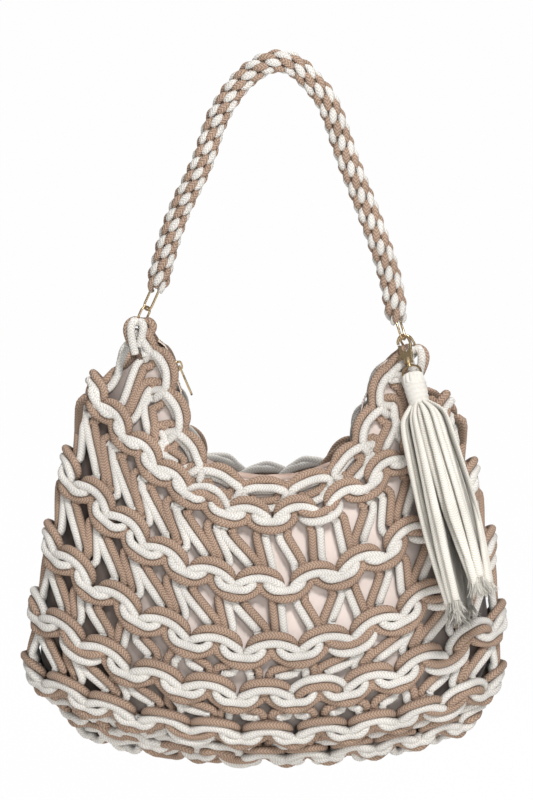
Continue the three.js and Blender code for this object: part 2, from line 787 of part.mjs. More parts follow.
function linkLoop(link, wire) {
  const centreWidth = LINK_WIDTH - LINK_WIRE;
  const loop = new THREE.TorusGeometry(centreWidth / 2, wire / 2, 6, 12).rotateZ(Math.PI / 12);
  const stretch = (link.from.distanceTo(link.to) - centreWidth) / 2;
  const places = loop.getAttribute("position");
  for (let i = 0; i < places.count; i += 1) {
    places.setY(i, places.getY(i) + Math.sign(places.getY(i)) * stretch);
  }
  const through = new THREE.Vector3().crossVectors(link.across, link.along);
  const frame = new THREE.Matrix4().makeBasis(link.across, link.along, through);
  frame.setPosition(link.from.clone().add(link.to).multiplyScalar(0.5));
  return loop.applyMatrix4(frame);
}

function linkPiece(name, link) {
  return piece(name, linkLoop(link, LINK_WIRE), METAL);
}

// Where a wire of another piece rests inside the lower end of a link, aside from its middle.
function seatInLink(link, wire, aside) {
  const endRadius = (LINK_WIDTH - LINK_WIRE) / 2;
  const room = endRadius - (LINK_WIRE + wire) / 2 - LINK_PLAY;
  const depth = Math.sqrt(room ** 2 - aside ** 2) - endRadius;
  return link.to.clone().addScaledVector(link.along, depth).addScaledVector(link.across, aside);
}

// The two links of a side. The lower one rests aside in the upper one's lower end, a quarter
// turn from it, and hooks the net at its peak.
function chainSide({ end, angle, peakReach, share, draw, turn, aside }) {
  const eye = handleEye(end);
  const hooked = surfacePoint(angle, 0).add(new THREE.Vector3(...peakReach));
  const meet = eye.clone().lerp(hooked, share).add(new THREE.Vector3(...draw));
  const upper = linkBetween(eye, meet, turn);
  const hold = seatInLink(upper, LINK_WIRE, aside);
  return { upper, lower: linkBetween(hold, hooked, turn + QUARTER_TURN) };
}

const leftChain = chainSide({
  end: 0,
  angle: -Math.PI / 2,
  peakReach: LEFT_PEAK_REACH,
  share: LEFT_LINK_SHARE,
  draw: LEFT_LINK_DRAW,
  turn: LEFT_LINK_TURN,
  aside: 0,
});
const rightChain = chainSide({
  end: 1,
  angle: Math.PI / 2,
  peakReach: RIGHT_PEAK_REACH,
  share: RIGHT_LINK_SHARE,
  draw: RIGHT_LINK_DRAW,
  turn: RIGHT_LINK_TURN,
  aside: -LINK_ASIDE,
});

// Snap hook, in its own frame: +Z along the swivel's axis, up to the bow

const hookFrame = new THREE.Group();
hookFrame.rotation.set(
  -THREE.MathUtils.degToRad(HOOK_FRONT_LEAN),
  -THREE.MathUtils.degToRad(HOOK_SIDE_LEAN),
  THREE.MathUtils.degToRad(HOOK_TURN),
);
const bowTop = new THREE.Vector3(0, 0, HOOK_LENGTH - HOOK_WIRE / 2).applyEuler(hookFrame.rotation);
hookFrame.position.copy(seatInLink(rightChain.upper, HOOK_WIRE, HOOK_ASIDE)).sub(bowTop);

const GATE_PIVOT = { x: -0.32 * (HOOK_WIDTH - HOOK_WIRE) / 2, z: 0.292 * HOOK_LENGTH };

function hookPoints(table) {
  const half = (HOOK_WIDTH - HOOK_WIRE) / 2;
  return table.map(({ across, up }) => [across * half, up * HOOK_LENGTH]);
}

function pinAt(diameter, length) {
  const pin = cylinder(diameter, -length / 2, length / 2, 10);
  return pin.rotateX(Math.PI / 2).translate(GATE_PIVOT.x, 0, GATE_PIVOT.z);
}

function snapHook() {
  const wire = new THREE.Shape().absarc(0, 0, HOOK_WIRE / 2, 0, 2 * Math.PI);
  const line = new THREE.CatmullRomCurve3(hookPoints(BOW_LINE).map(([x, z]) => new THREE.Vector3(x, 0, z)));
  const bow = new THREE.ExtrudeGeometry(wire, { steps: 14, curveSegments: 6, extrudePath: line });
  const cheeks = plate(hookPoints(HOOK_BODY), HOOK_BODY_DEPTH);
  const collar = cylinder(COLLAR_DIAMETER, 0, COLLAR_LENGTH, 12);
  const half = GATE_THICKNESS / 2 + RUNNING;
  const slot = box(-HOOK_WIDTH, 0.16 * HOOK_WIDTH / 2, -half, half, 0.21 * HOOK_LENGTH, 0.5 * HOOK_LENGTH);
  const bore = cylinder(SHANK_DIAMETER + 2 * RUNNING, -1, COLLAR_LENGTH / 2, 12);
  const pocket = cylinder(RIVET_DIAMETER + 2 * RUNNING, 0.4 * COLLAR_LENGTH, 0.82 * COLLAR_LENGTH, 12);
  const whole = cut(join([cheeks, collar]), [slot, bore, pocket]);
  return piece("snap_hook", join([whole, bow, pinAt(PIN_DIAMETER, HOOK_BODY_DEPTH - 0.4)]), METAL);
}

function snapGate() {
  const lever = plate(hookPoints(GATE_OUTLINE), GATE_THICKNESS);
  return piece("snap_gate", cut(lever, [pinAt(PIN_DIAMETER + 2 * RUNNING, 2 * GATE_THICKNESS)]), METAL);
}

// The swivel's eye: a ring on a riveted shank that turns in the collar.
function eyeRing(wire) {
  const width = EYE_RING_WIDTH - EYE_RING_WIRE;
  const height = EYE_RING_HEIGHT - EYE_RING_WIRE;
  const ring = new THREE.TorusGeometry(width / 2, wire / 2, 6, 16);
  const places = ring.getAttribute("position");
  for (let i = 0; i < places.count; i += 1) {
    places.setY(i, (places.getY(i) * height) / width);
  }
  return ring.rotateX(Math.PI / 2).translate(0, 0, -(EYE_RING_HEIGHT / 2 + EYE_RING_GAP));
}

function swivelEye() {
  const shank = cylinder(SHANK_DIAMETER, -EYE_RING_WIRE, 0.6 * COLLAR_LENGTH, 10);
  const rivet = cylinder(RIVET_DIAMETER, 0.4 * COLLAR_LENGTH + RUNNING, 0.82 * COLLAR_LENGTH - RUNNING, 12);
  return piece("swivel_eye", join([eyeRing(EYE_RING_WIRE), shank, rivet]), METAL);
}

// Tassel, in the snap hook's frame

function tasselHead() {
  const radius = TASSEL_HEAD_DIAMETER / 2;
  const profile = TASSEL_HEAD_FORM.map(({ down, reach }) => new THREE.Vector2(
    reach * radius,
    -TASSEL_HEAD_DROP - down * TASSEL_HEAD_LENGTH,
  ));
  const head = new THREE.LatheGeometry(profile, 12).rotateX(Math.PI / 2);
  return cut(head, [eyeRing(EYE_RING_WIRE + 2 * TOUCH)]);
}

const SKIRT_TOP = TASSEL_HEAD_DROP + TASSEL_HEAD_LENGTH - TASSEL_LAP;

// One lock of the skirt: a flat strip that starts inside the head's foot and leans outwards.
function tasselLock(turn, reach) {
  const length = (TASSEL_LENGTH - SKIRT_TOP) * reach;
  const rings = SKIRT_FORM.map(({ down, radius }) => {
    const middle = (radius * TASSEL_SPREAD) / 2;
    const wide = (LOCK_WIDTH_SHARE * Math.PI * middle) / LOCK_REACHES.length + LOCK_THICKNESS / 3;
    const thick = LOCK_THICKNESS / 2;
    const corners = [
      [thick, -0.5 * wide],
      [thick, 0.5 * wide],
      [0, wide],
      [-thick, 0.5 * wide],
      [-thick, -0.5 * wide],
      [0, -wide],
    ];
    return corners.map(([out, aside]) => new THREE.Vector3(middle + out, aside, -SKIRT_TOP - down * length));
  });
  return loft(rings.reverse()).rotateZ(turn);
}

// The strands in the middle of the skirt, which fill it between the locks.
function tasselCore() {
  const length = (TASSEL_LENGTH - SKIRT_TOP) * Math.min(...LOCK_REACHES);
  const side = SKIRT_FORM.map(({ down, radius }) => new THREE.Vector2(
    (TASSEL_CORE_SHARE * radius * TASSEL_SPREAD) / 2,
    -SKIRT_TOP - down * length,
  ));
  const foot = side[side.length - 1];
  const profile = [new THREE.Vector2(0, foot.y), ...side.reverse(), new THREE.Vector2(0, -SKIRT_TOP)];
  return new THREE.LatheGeometry(profile, 9).rotateX(Math.PI / 2);
}

function tassel() {
  const count = LOCK_REACHES.length;
  const locks = LOCK_REACHES.map((reach, i) => tasselLock((2 * Math.PI * i) / count, reach));
  return piece("tassel", join([tasselHead(), tasselCore(), ...locks]), IVORY_CORD);
}

sliderFrame.add(zipSlider(), pullFrame);
pullFrame.add(zipPull());
hookFrame.add(snapHook(), snapGate(), swivelEye(), tassel());

const bag = new THREE.Group();
bag.add(
  netBody([leftChain.lower, rightChain.lower]),
  lining(),
  zipTape(),
  sliderFrame,
  handleBraid([leftChain.upper, rightChain.upper]),
  linkPiece("left_handle_link", leftChain.upper),
  linkPiece("left_peak_link", leftChain.lower),
  linkPiece("right_handle_link", rightChain.upper),
  linkPiece("right_peak_link", rightChain.lower),
  hookFrame,
);

export default bag;
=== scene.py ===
import random
from math import asin, copysign, cos, exp, pi, radians, sin, sqrt

import bpy
import numpy as np
from mathutils import Matrix, Vector

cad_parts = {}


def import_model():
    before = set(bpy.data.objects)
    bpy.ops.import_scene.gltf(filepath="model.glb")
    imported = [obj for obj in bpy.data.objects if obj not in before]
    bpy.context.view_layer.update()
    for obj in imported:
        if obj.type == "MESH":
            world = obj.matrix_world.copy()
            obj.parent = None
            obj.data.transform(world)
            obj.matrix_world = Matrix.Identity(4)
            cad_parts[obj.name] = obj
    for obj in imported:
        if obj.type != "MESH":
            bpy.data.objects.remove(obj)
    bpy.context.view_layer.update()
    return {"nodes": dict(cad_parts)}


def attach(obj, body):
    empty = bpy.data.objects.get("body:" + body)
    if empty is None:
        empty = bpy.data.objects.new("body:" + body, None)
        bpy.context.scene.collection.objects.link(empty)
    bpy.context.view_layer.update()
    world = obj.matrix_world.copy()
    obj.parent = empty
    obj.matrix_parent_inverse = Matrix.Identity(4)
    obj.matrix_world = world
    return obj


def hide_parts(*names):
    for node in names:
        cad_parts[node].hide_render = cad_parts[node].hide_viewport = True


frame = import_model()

bl_info = {
    "name": "Crochet handbag",
    "version": (1, 0, 0),
    "blender": (4, 5, 0),
    "location": "View3D > Sidebar > Handbag",
    "description": "Builds a crochet handbag of two-coloured cord with its braided handle and tassel",
    "category": "Object",
}

MM = 0.001


# Lines and curves, as rows of numbers

def unit(vector):
    return vector / max(float(np.linalg.norm(vector)), 1e-9)


def between(a, b, c, d, t):
    """The place at share t from b to c, on a smooth curve through all four."""
    return 0.5 * (2 * b + (c - a) * t + (2 * a - 5 * b + 4 * c - d) * t ** 2
                  + (3 * b - a - 3 * c + d) * t ** 3)


def spline_row(table, place):
    """A row between the rows of a table, on a smooth curve through them."""
    last = len(table) - 1
    place = min(max(place, 0.0), float(last))
    i = min(int(place), last - 1)
    return between(table[max(i - 1, 0)], table[i], table[i + 1], table[min(i + 2, last)], place - i)


def smooth_curve(points, per_span, closed=True):
    """A finer line on a smooth curve through rows of numbers."""
    rows = np.asarray(points, float)
    count = len(rows)
    t = (np.arange(per_span) / per_span)[:, None]
    parts = []
    for i in range(count if closed else count - 1):
        pick = [(i + k) % count if closed else min(max(i + k, 0), count - 1) for k in (-1, 0, 1, 2)]
        parts.append(between(*rows[pick], t))
    if not closed:
        parts.append(rows[-1:])
    return np.concatenate(parts)


def walked(points):
    """How far along a line each of its points lies."""
    return np.concatenate([[0.0], np.cumsum(np.linalg.norm(np.diff(points, axis=0), axis=1))])


def evenly(points, count):
    """Points at equal distances along a line, and the line's length."""
    far = walked(points)
    wanted = np.linspace(0, far[-1], count)
    return np.stack([np.interp(wanted, far, points[:, i]) for i in range(3)], axis=1), float(far[-1])


def tangents(points, closed):
    if closed:
        ahead, behind = np.roll(points, -1, axis=0), np.roll(points, 1, axis=0)
    else:
        ahead = np.concatenate([points[1:], points[-1:]])
        behind = np.concatenate([points[:1], points[:-1]])
    run = ahead - behind
    return run / np.maximum(np.linalg.norm(run, axis=1, keepdims=True), 1e-9)


def squared(normals, run):
    """Normals turned square to a line's directions."""
    normals = normals - run * np.sum(normals * run, axis=1, keepdims=True)
    return normals / np.maximum(np.linalg.norm(normals, axis=1, keepdims=True), 1e-9)


def carried_normals(points, first):
    """Normals carried along an open line without twist."""
    normal = np.asarray(first, float)
    normals = []
    for t in tangents(points, False):
        normal = unit(normal - t * float(normal @ t))
        normals.append(normal)
    return np.array(normals)


# The net's form, in millimetres down from the hang point. A course is a row of the net, from
# the mouth at 0 to the seam under the bag at 7.

NET_WIDTH = 376.0
NET_DEPTH = 133.0
NET_HEIGHT = 347.0
NET_TOP = -203.0
BODY_SHIFT = -11.5
BOTTOM_SEAM_SHARE = 0.8
BOTTOM_SEAM_RISE = 28.0
NET_WALL = 13.0
LAST_COURSE = 6
SEAM_COURSE = 7
# the course on which the last row of loops lies, short of the seam
LAST_LOOPS = 6.55

# left, right, left drop, right drop, front drop, depth, pinch
COURSES = np.array([
    (0.555, 0.625, 0.020, 0.073, 0.353, 0.48, 2.50),
    (0.748, 0.795, 0.140, 0.184, 0.425, 0.65, 1.80),
    (0.856, 0.892, 0.322, 0.345, 0.573, 0.86, 1.40),
    (0.930, 0.962, 0.494, 0.505, 0.720, 1.00, 1.15),
    (0.985, 1.000, 0.654, 0.679, 0.825, 0.97, 1.00),
    (1.000, 0.985, 0.803, 0.825, 0.920, 0.82, 1.00),
    (0.870, 0.885, 0.880, 0.912, 0.982, 0.52, 1.00),
])
# how far round to the side, and how far up from the front's lowest point the mouth then is
MOUTH_CLIMB = np.array([
    (0.0, 0.0), (0.25, 0.03), (0.5, 0.15), (0.6, 0.3), (0.7, 0.52), (0.83, 0.88), (1.0, 1.0),
])


def seam_height(x):
    share = abs(x - BODY_SHIFT) / (0.5 * NET_WIDTH)
    return NET_TOP - NET_HEIGHT + BOTTOM_SEAM_RISE * (share / BOTTOM_SEAM_SHARE) ** 3


def surface_point(angle, course):
    """A point of the net's middle surface; angle 0 is the front, a quarter turn the right side."""
    left, right, left_drop, right_drop, front_drop, depth, pinch = spline_row(COURSES, course)
    across, along = sin(angle), cos(angle)
    reach = (right if across > 0 else left) * NET_WIDTH / 2
    side_drop = right_drop if across > 0 else left_drop
    mouth = float(np.interp(abs(across), MOUTH_CLIMB[:, 0], MOUTH_CLIMB[:, 1]))
    blend = min(course, 1.0)
    climb = mouth + (across ** 2 - mouth) * blend
    drop = front_drop + (side_drop - front_drop) * climb
    pinched = copysign(abs(along) ** pinch, along)
    x = BODY_SHIFT + reach * across
    y = -depth * NET_DEPTH / 2 * pinched
    z = NET_TOP - NET_HEIGHT * drop
    if course > LAST_COURSE:
        turn = min(course - LAST_COURSE, 1.0) * pi / 2
        seam_x = BODY_SHIFT + (x - BODY_SHIFT) * BOTTOM_SEAM_SHARE
        y *= cos(turn)
        z += (seam_height(seam_x) - z) * sin(turn)
        x += (seam_x - x) * (1 - cos(turn))
    return (x, y, z)


# A grid of the surface: rows from the mouth to the seam, and places round the bag
GRID_COURSES = 71
GRID_ROUND = 240


def surface_grid():
    """Points of the surface, evenly spaced round each side, from the mouth to the seam."""
    grid = np.zeros((GRID_COURSES, GRID_ROUND + 1, 3))
    half = GRID_ROUND // 2
    for row in range(GRID_COURSES):
        course = SEAM_COURSE * row / (GRID_COURSES - 1)
        for side in (1, -1):
            angles = np.linspace(0, pi, half + 1) * side
            even, _ = evenly(np.array([surface_point(a, course) for a in angles]), half + 1)
            if side == 1:
                grid[row, :half + 1] = even
            else:
                grid[row, half:] = even[::-1]
    return grid


GRID = surface_grid()


def bag_point(share, course):
    """The surface at a share of the way round (front 0, right side 0.25) and a course."""
    u = (share % 1.0) * GRID_ROUND
    v = min(max(course, 0.0), SEAM_COURSE) / SEAM_COURSE * (GRID_COURSES - 1)
    i, j = min(int(v), GRID_COURSES - 2), min(int(u), GRID_ROUND - 1)
    s, t = v - i, u - j
    upper = GRID[i, j] * (1 - t) + GRID[i, j + 1] * t
    lower = GRID[i + 1, j] * (1 - t) + GRID[i + 1, j + 1] * t
    return upper * (1 - s) + lower * s


def bag_frame(share, course):
    """Point, direction round, direction up and outward normal, and the length of one turn."""
    step = 0.011
    here = bag_point(share, course)
    round_ = bag_point(share + step, course) - bag_point(share - step, course)
    down = bag_point(share, min(course + 0.25, SEAM_COURSE)) - bag_point(share, max(course - 0.25, 0.0))
    out = unit(np.cross(down, round_))
    along = unit(round_)
    return here, along, unit(np.cross(out, along)), out, float(np.linalg.norm(round_)) / (2 * step)


# Materials, meshes and nodes

def linear(hex_colour):
    """An sRGB hex colour as the linear values that shaders use."""
    channels = [int(hex_colour[i:i + 2], 16) / 255 for i in (1, 3, 5)]
    return tuple(c / 12.92 if c <= 0.04045 else ((c + 0.055) / 1.055) ** 2.4 for c in channels) + (1.0,)


def per_metre(size):
    """How often a pattern of that size in millimetres repeats in a metre."""
    return 1 / (size * MM)


def node(tree, kind, place, settings=None, inputs=None, links=None):
    """Adds a node at a place, with its settings, its input values and links to its inputs, each
    from a socket or from a node's first output."""
    made = tree.nodes.new("ShaderNode" + kind)
    made.location = place
    for key, value in (settings or {}).items():
        setattr(made, key, value)
    for key, value in (inputs or {}).items():
        made.inputs[key].default_value = value
    for key, source in (links or {}).items():
        tree.links.new(source.outputs[0] if isinstance(source, bpy.types.Node) else source, made.inputs[key])
    return made


def new_material(name):
    material = bpy.data.materials.new(name)
    material.use_nodes = True
    tree = material.node_tree
    tree.nodes.clear()
    return material, tree


class Sweeps:
    """Gathers swept tubes, in millimetres, and makes one mesh of them with a UV map:
    U is the way round as a share, V the way along in millimetres."""

    def __init__(self):
        self.points, self.faces, self.uvs, self.slots = [], [], [], []
        self.count = 0

    def add(self, line, normals, wide, thick=None, sides=8, closed=True, slot=0, caps=True):
        """wide and thick are the half widths along the binormal and the normal, one number or one
        for each point."""
        line = np.asarray(line, float)
        run = tangents(line, closed)
        normals = squared(normals, run)
        sideways = np.cross(run, normals)
        wide = np.broadcast_to(np.asarray(wide, float), (len(line),))
        thick = wide if thick is None else np.broadcast_to(np.asarray(thick, float), (len(line),))
        angles = 2 * np.pi * np.arange(sides) / sides
        rings = (line[:, None, :]
                 + normals[:, None, :] * (thick[:, None] * np.cos(angles))[:, :, None]
                 + sideways[:, None, :] * (wide[:, None] * np.sin(angles))[:, :, None])
        far = walked(line)
        last = far[-1] + (float(np.linalg.norm(line[0] - line[-1])) if closed else 0.0)
        count = len(line)
        base = self.count
        for i in range(count if closed else count - 1):
            j = (i + 1) % count
            v0 = far[i]
            v1 = far[j] if j else last
            for k in range(sides):
                m = (k + 1) % sides
                self.faces.append((base + i * sides + k, base + i * sides + m,
                                   base + j * sides + m, base + j * sides + k))
                u0, u1 = k / sides, (k + 1) / sides
                self.uvs.extend(((u0, v0), (u1, v0), (u1, v1), (u0, v1)))
                self.slots.append(slot)
        self.points.append(rings.reshape(-1, 3))
        self.count += count * sides
        if not closed and caps:
            for row, tip in ((0, line[0]), (count - 1, line[-1])):
                self.points.append(np.array([tip]))
                for k in range(sides):
                    m = (k + 1) % sides
                    a, b = base + row * sides + k, base + row * sides + m
                    self.faces.append((b, a, self.count) if row == 0 else (a, b, self.count))
                    self.uvs.extend(((k / sides, far[row]),) * 3)
                    self.slots.append(slot)
                self.count += 1

    def build(self, name, materials):
        mesh = bpy.data.meshes.new(name)
        mesh.from_pydata((np.concatenate(self.points) * MM).tolist(), [], self.faces)
        layer = mesh.uv_layers.new(name="UVMap")
        layer.data.foreach_set("uv", np.asarray(self.uvs, np.float32).ravel())
        mesh.polygons.foreach_set("use_smooth", [True] * len(mesh.polygons))
        mesh.polygons.foreach_set("material_index", self.slots)
        for material in materials:
            mesh.materials.append(material)
        mesh.validate()
        mesh.update()
        obj = bpy.data.objects.new(name, mesh)
        bpy.context.scene.collection.objects.link(obj)
        return obj


def deselect():
    for obj in bpy.context.selected_objects:
        obj.select_set(False)


def dress_node(name, material):
    """Gives a CAD node a finished material in each of its slots."""
    obj = frame["nodes"][name]
    if not obj.material_slots:
        obj.data.materials.append(material)
    for slot in obj.material_slots:
        slot.material = material
    return obj


# Finishes

# the fuzz of cotton yarn, drawn coarser than its real 0.2 mm so that it shows
FUZZ = 1.1111
# a wave texture of scale 1 repeats after this many metres
WAVE_SPAN = pi / 10


def braided_cotton(name, colour, shade, braid=2.3, ribs=4, relief=0.8):
    """Braided cotton cord: matt yarns crossing in a fine herringbone, slightly fuzzy, with painted shade
    in the valleys between the yarns. The real braid repeats every 1.6 mm; it is coarser here to show."""
    material, tree = new_material(name)
    uv = node(tree, "UVMap", (-1500, 0), {"uv_map": "UVMap"})
    split = node(tree, "SeparateXYZ", (-1320, 0), links={0: uv})
    around = node(tree, "Math", (-1140, 80), {"operation": "MULTIPLY"},
                  {1: 2.0 * ribs}, {0: split})
    zigzag = node(tree, "Math", (-960, 80), {"operation": "PINGPONG"}, {1: 1.0},
                  {0: around})
    along = node(tree, "Math", (-1140, -80), {"operation": "MULTIPLY"}, {1: 1.0 / braid},
                 {0: split.outputs[1]})
    slant = node(tree, "Math", (-780, 0), {"operation": "MULTIPLY_ADD"}, {1: 0.9},
                 {0: zigzag, 2: along})
    turn = node(tree, "Math", (-600, 0), {"operation": "MULTIPLY"}, {1: 2 * pi},
                {0: slant})
    yarns = node(tree, "Math", (-500, 0), {"operation": "SINE"}, links={0: turn})
    height = node(tree, "MapRange", (-420, 0), inputs={1: -0.9, 2: 0.45, 3: 0.0, 4: 0.8},
                  links={0: yarns})
    place = node(tree, "TexCoord", (-1140, -320)).outputs["Object"]
    fuzz = node(tree, "TexNoise", (-780, -320),
                inputs={"Scale": per_metre(FUZZ), "Detail": 3.0, "Roughness": 0.7}, links={"Vector": place})
    patches = node(tree, "TexNoise", (-780, -560), inputs={"Scale": per_metre(35.714), "Detail": 2.0},
                   links={"Vector": place})
    rough = node(tree, "Math", (-420, -240), {"operation": "MULTIPLY"}, {1: 0.4},
                 {0: fuzz.outputs["Fac"]})
    relief_sum = node(tree, "Math", (-240, -120), {"operation": "ADD"},
                      links={0: height, 1: rough})
    # painted shade: the low valleys between the yarns take the darker shade colour
    tone = node(tree, "Mix", (-240, 160), {"data_type": "RGBA"},
                {"A": linear(shade), "B": linear(colour)}, {"Factor": relief_sum})
    worn = node(tree, "MapRange", (-420, -480), inputs={1: 0.3, 2: 0.7, 3: 0.9, 4: 1.06},
                links={0: patches.outputs["Fac"]})
    # painted shade: each cord's back half, which lies against other cords, is darkened as if in their shadow
    turned = node(tree, "Math", (-1140, 300), {"operation": "PINGPONG"}, {1: 0.5}, {0: split})
    painted_back_shade = node(tree, "MapRange", (-960, 300), {"interpolation_type": "SMOOTHSTEP"},
                   {1: 0.14, 2: 0.38, 3: 1.0, 4: 0.44}, {0: turned})
    level = node(tree, "Math", (-240, 340), {"operation": "MULTIPLY"},
                 links={0: worn, 1: painted_back_shade})
    tint = node(tree, "VectorMath", (-40, 160), {"operation": "SCALE"},
                links={0: tone.outputs["Result"], "Scale": level})
    bump = node(tree, "Bump", (-40, -120), inputs={"Strength": relief, "Distance": 0.0005},
                links={"Height": relief_sum})
    shader = node(tree, "BsdfPrincipled", (180, 60),
                  inputs={"Roughness": 0.9, "Sheen Weight": 0.06, "Sheen Roughness": 0.5,
                          "Specular IOR Level": 0.15},
                  links={"Base Color": tint, "Normal": bump})
    node(tree, "OutputMaterial", (460, 60), links={"Surface": shader})
    return material


def woven_cloth(name, colour, shade, thread, rough, sheen, depth):
    """Plain woven cotton: fine threads crossing square, a soft sheen, faint creases of tone and painted side
    shade.
    """
    material, tree = new_material(name)
    place = node(tree, "TexCoord", (-1100, 0)).outputs["Object"]
    warp = node(tree, "TexWave", (-860, 160), {"bands_direction": "X"},
                {"Scale": WAVE_SPAN * per_metre(2 * thread), "Distortion": 0.6, "Detail": 1.0},
                {"Vector": place})
    weft = node(tree, "TexWave", (-860, -120), {"bands_direction": "Z"},
                {"Scale": WAVE_SPAN * per_metre(2 * thread), "Distortion": 0.6, "Detail": 1.0},
                {"Vector": place})
    both = node(tree, "Math", (-620, 40), {"operation": "ADD"},
                links={0: warp.outputs["Fac"], 1: weft.outputs["Fac"]})
    mottle = node(tree, "TexNoise", (-860, -400), inputs={"Scale": per_metre(71.429), "Detail": 4.0},
                  links={"Vector": place})
    tone = node(tree, "Mix", (-380, 160), {"data_type": "RGBA"},
                {"A": linear(shade), "B": linear(colour)}, {"Factor": mottle.outputs["Fac"]})
    # painted shade: the cloth is darkened, by the share depth, towards the sides of the bag, where it lies
    # deeper in the net's shadow
    split = node(tree, "SeparateXYZ", (-860, 420), links={0: place})
    aside = node(tree, "Math", (-700, 420), {"operation": "ABSOLUTE"}, links={0: split})
    deep = node(tree, "MapRange", (-540, 420), {"interpolation_type": "SMOOTHSTEP"},
                {1: 0.07, 2: 0.15, 3: 0.0, 4: depth}, {0: aside})
    tone = node(tree, "Mix", (-220, 260), {"data_type": "RGBA"}, {"B": linear("#4A3C35")},
                {"Factor": deep, "A": tone.outputs["Result"]})
    folds = node(tree, "TexNoise", (-860, -640),
                 inputs={"Scale": per_metre(41.667), "Detail": 2.5, "Distortion": 1.6},
                 links={"Vector": place})
    wrinkle = node(tree, "Bump", (-560, -300), inputs={"Strength": 0.55, "Distance": 0.004},
                   links={"Height": folds.outputs["Fac"]})
    bump = node(tree, "Bump", (-380, -120), inputs={"Strength": 0.25, "Distance": 0.0002},
                links={"Height": both, "Normal": wrinkle})
    shader = node(tree, "BsdfPrincipled", (-120, 60),
                  inputs={"Roughness": rough, "Sheen Weight": sheen, "Sheen Roughness": 0.4,
                          "Specular IOR Level": 0.3},
                  links={"Base Color": tone.outputs["Result"], "Normal": bump})
    node(tree, "OutputMaterial", (160, 60), links={"Surface": shader})
    return material


def plated_gold(name, colour, shade):
    """Pale gold plating on cast zinc: bright and smooth, with faint handling marks."""
    material, tree = new_material(name)
    place = node(tree, "TexCoord", (-900, 0)).outputs["Object"]
    marks = node(tree, "TexNoise", (-660, -60),
                 inputs={"Scale": per_metre(3.846), "Detail": 4.0, "Roughness": 0.6}, links={"Vector": place})
    gloss = node(tree, "MapRange", (-420, -60), inputs={1: 0.35, 2: 0.7, 3: 0.16, 4: 0.32},
                 links={0: marks.outputs["Fac"]})
    tone = node(tree, "Mix", (-420, 180), {"data_type": "RGBA"},
                {"A": linear(colour), "B": linear(shade)}, {"Factor": marks.outputs["Fac"]})
    bump = node(tree, "Bump", (-420, -300), inputs={"Strength": 0.06, "Distance": 0.0001},
                links={"Height": marks.outputs["Fac"]})
    shader = node(tree, "BsdfPrincipled", (-120, 60), inputs={"Metallic": 1.0},
                  links={"Base Color": tone.outputs["Result"], "Roughness": gloss,
                         "Normal": bump})
    node(tree, "OutputMaterial", (160, 60), links={"Surface": shader})
    return material


def wrapped_thread(name, colour, shade, thread):
    """Cotton thread wound in close turns: fine rings across the head, with painted shade in the grooves."""
    material, tree = new_material(name)
    uv = node(tree, "UVMap", (-1100, 0), {"uv_map": "UVMap"})
    split = node(tree, "SeparateXYZ", (-920, 0), links={0: uv})
    turns = node(tree, "Math", (-740, 0), {"operation": "MULTIPLY_ADD"},
                 {1: 2 * pi / thread}, {0: split.outputs[1], 2: split})
    rings = node(tree, "Math", (-560, 0), {"operation": "SINE"}, links={0: turns})
    place = node(tree, "TexCoord", (-920, -260)).outputs["Object"]
    fuzz = node(tree, "TexNoise", (-740, -260), inputs={"Scale": per_metre(1.4286), "Detail": 3.0},
                links={"Vector": place})
    height = node(tree, "Math", (-380, -60), {"operation": "ADD"},
                  links={0: rings, 1: fuzz.outputs["Fac"]})
    level = node(tree, "MapRange", (-200, 120), inputs={1: -1.0, 2: 1.6, 3: 0.0, 4: 1.0},
                 links={0: height})
    # painted shade: the grooves between the turns take the darker shade colour
    tone = node(tree, "Mix", (-20, 160), {"data_type": "RGBA"},
                {"A": linear(shade), "B": linear(colour)}, {"Factor": level})
    bump = node(tree, "Bump", (-20, -100), inputs={"Strength": 0.45, "Distance": 0.0003},
                links={"Height": height})
    shader = node(tree, "BsdfPrincipled", (220, 60),
                  inputs={"Roughness": 0.85, "Sheen Weight": 0.25, "Specular IOR Level": 0.2},
                  links={"Base Color": tone.outputs["Result"], "Normal": bump})
    node(tree, "OutputMaterial", (500, 60), links={"Surface": shader})
    return material


FINISHES = {}


def finish(name):
    """The material of that name, made once from the colours in the settings."""
    if name in FINISHES:
        return FINISHES[name]
    colours = bpy.context.scene.bag_colours
    maker, title, colour, *rest = {
        # the cords' second colour is the painted shade in the valleys between their yarns
        "taupe_cord": (braided_cotton, "braided_cotton_taupe", colours.taupe, "#806A59"),
        "ivory_cord": (braided_cotton, "braided_cotton_ivory", colours.ivory, "#D2CABD"),
        "tassel_cord": (braided_cotton, "braided_cotton_tassel", colours.tassel, "#DDD3BF", 2.0, 3, 0.5),
        # the wound thread's second colour is painted shade in the grooves between its turns
        "wrap": (wrapped_thread, "wound_cotton_thread", colours.tassel, "#DCD6CA", 0.9),
        # the cloths' second colour is a random mottle, and their last number how strongly painted shade
        # darkens them towards the bag's sides
        "lining_cloth": (woven_cloth, "cotton_satin_blush", colours.lining, "#F0DDD2", 0.4, 0.62, 0.4, 0.92),
        "zip_cloth": (woven_cloth, "zip_tape_cotton", colours.lining, "#CDBBAF", 0.6, 0.8, 0.2, 0.3),
        "gold": (plated_gold, "pale_gold_plating", colours.gold, "#BFA277"),
    }[name]
    FINISHES[name] = maker(title, colour, *rest)
    return FINISHES[name]


# The net's cords

# Where the loops of each row sit round the bag, as a share of a stitch from the front middle.
ROW_PHASES = (0.0, -0.35, -0.08, 0.11, -0.04, 0.07, -0.05, 0.05)


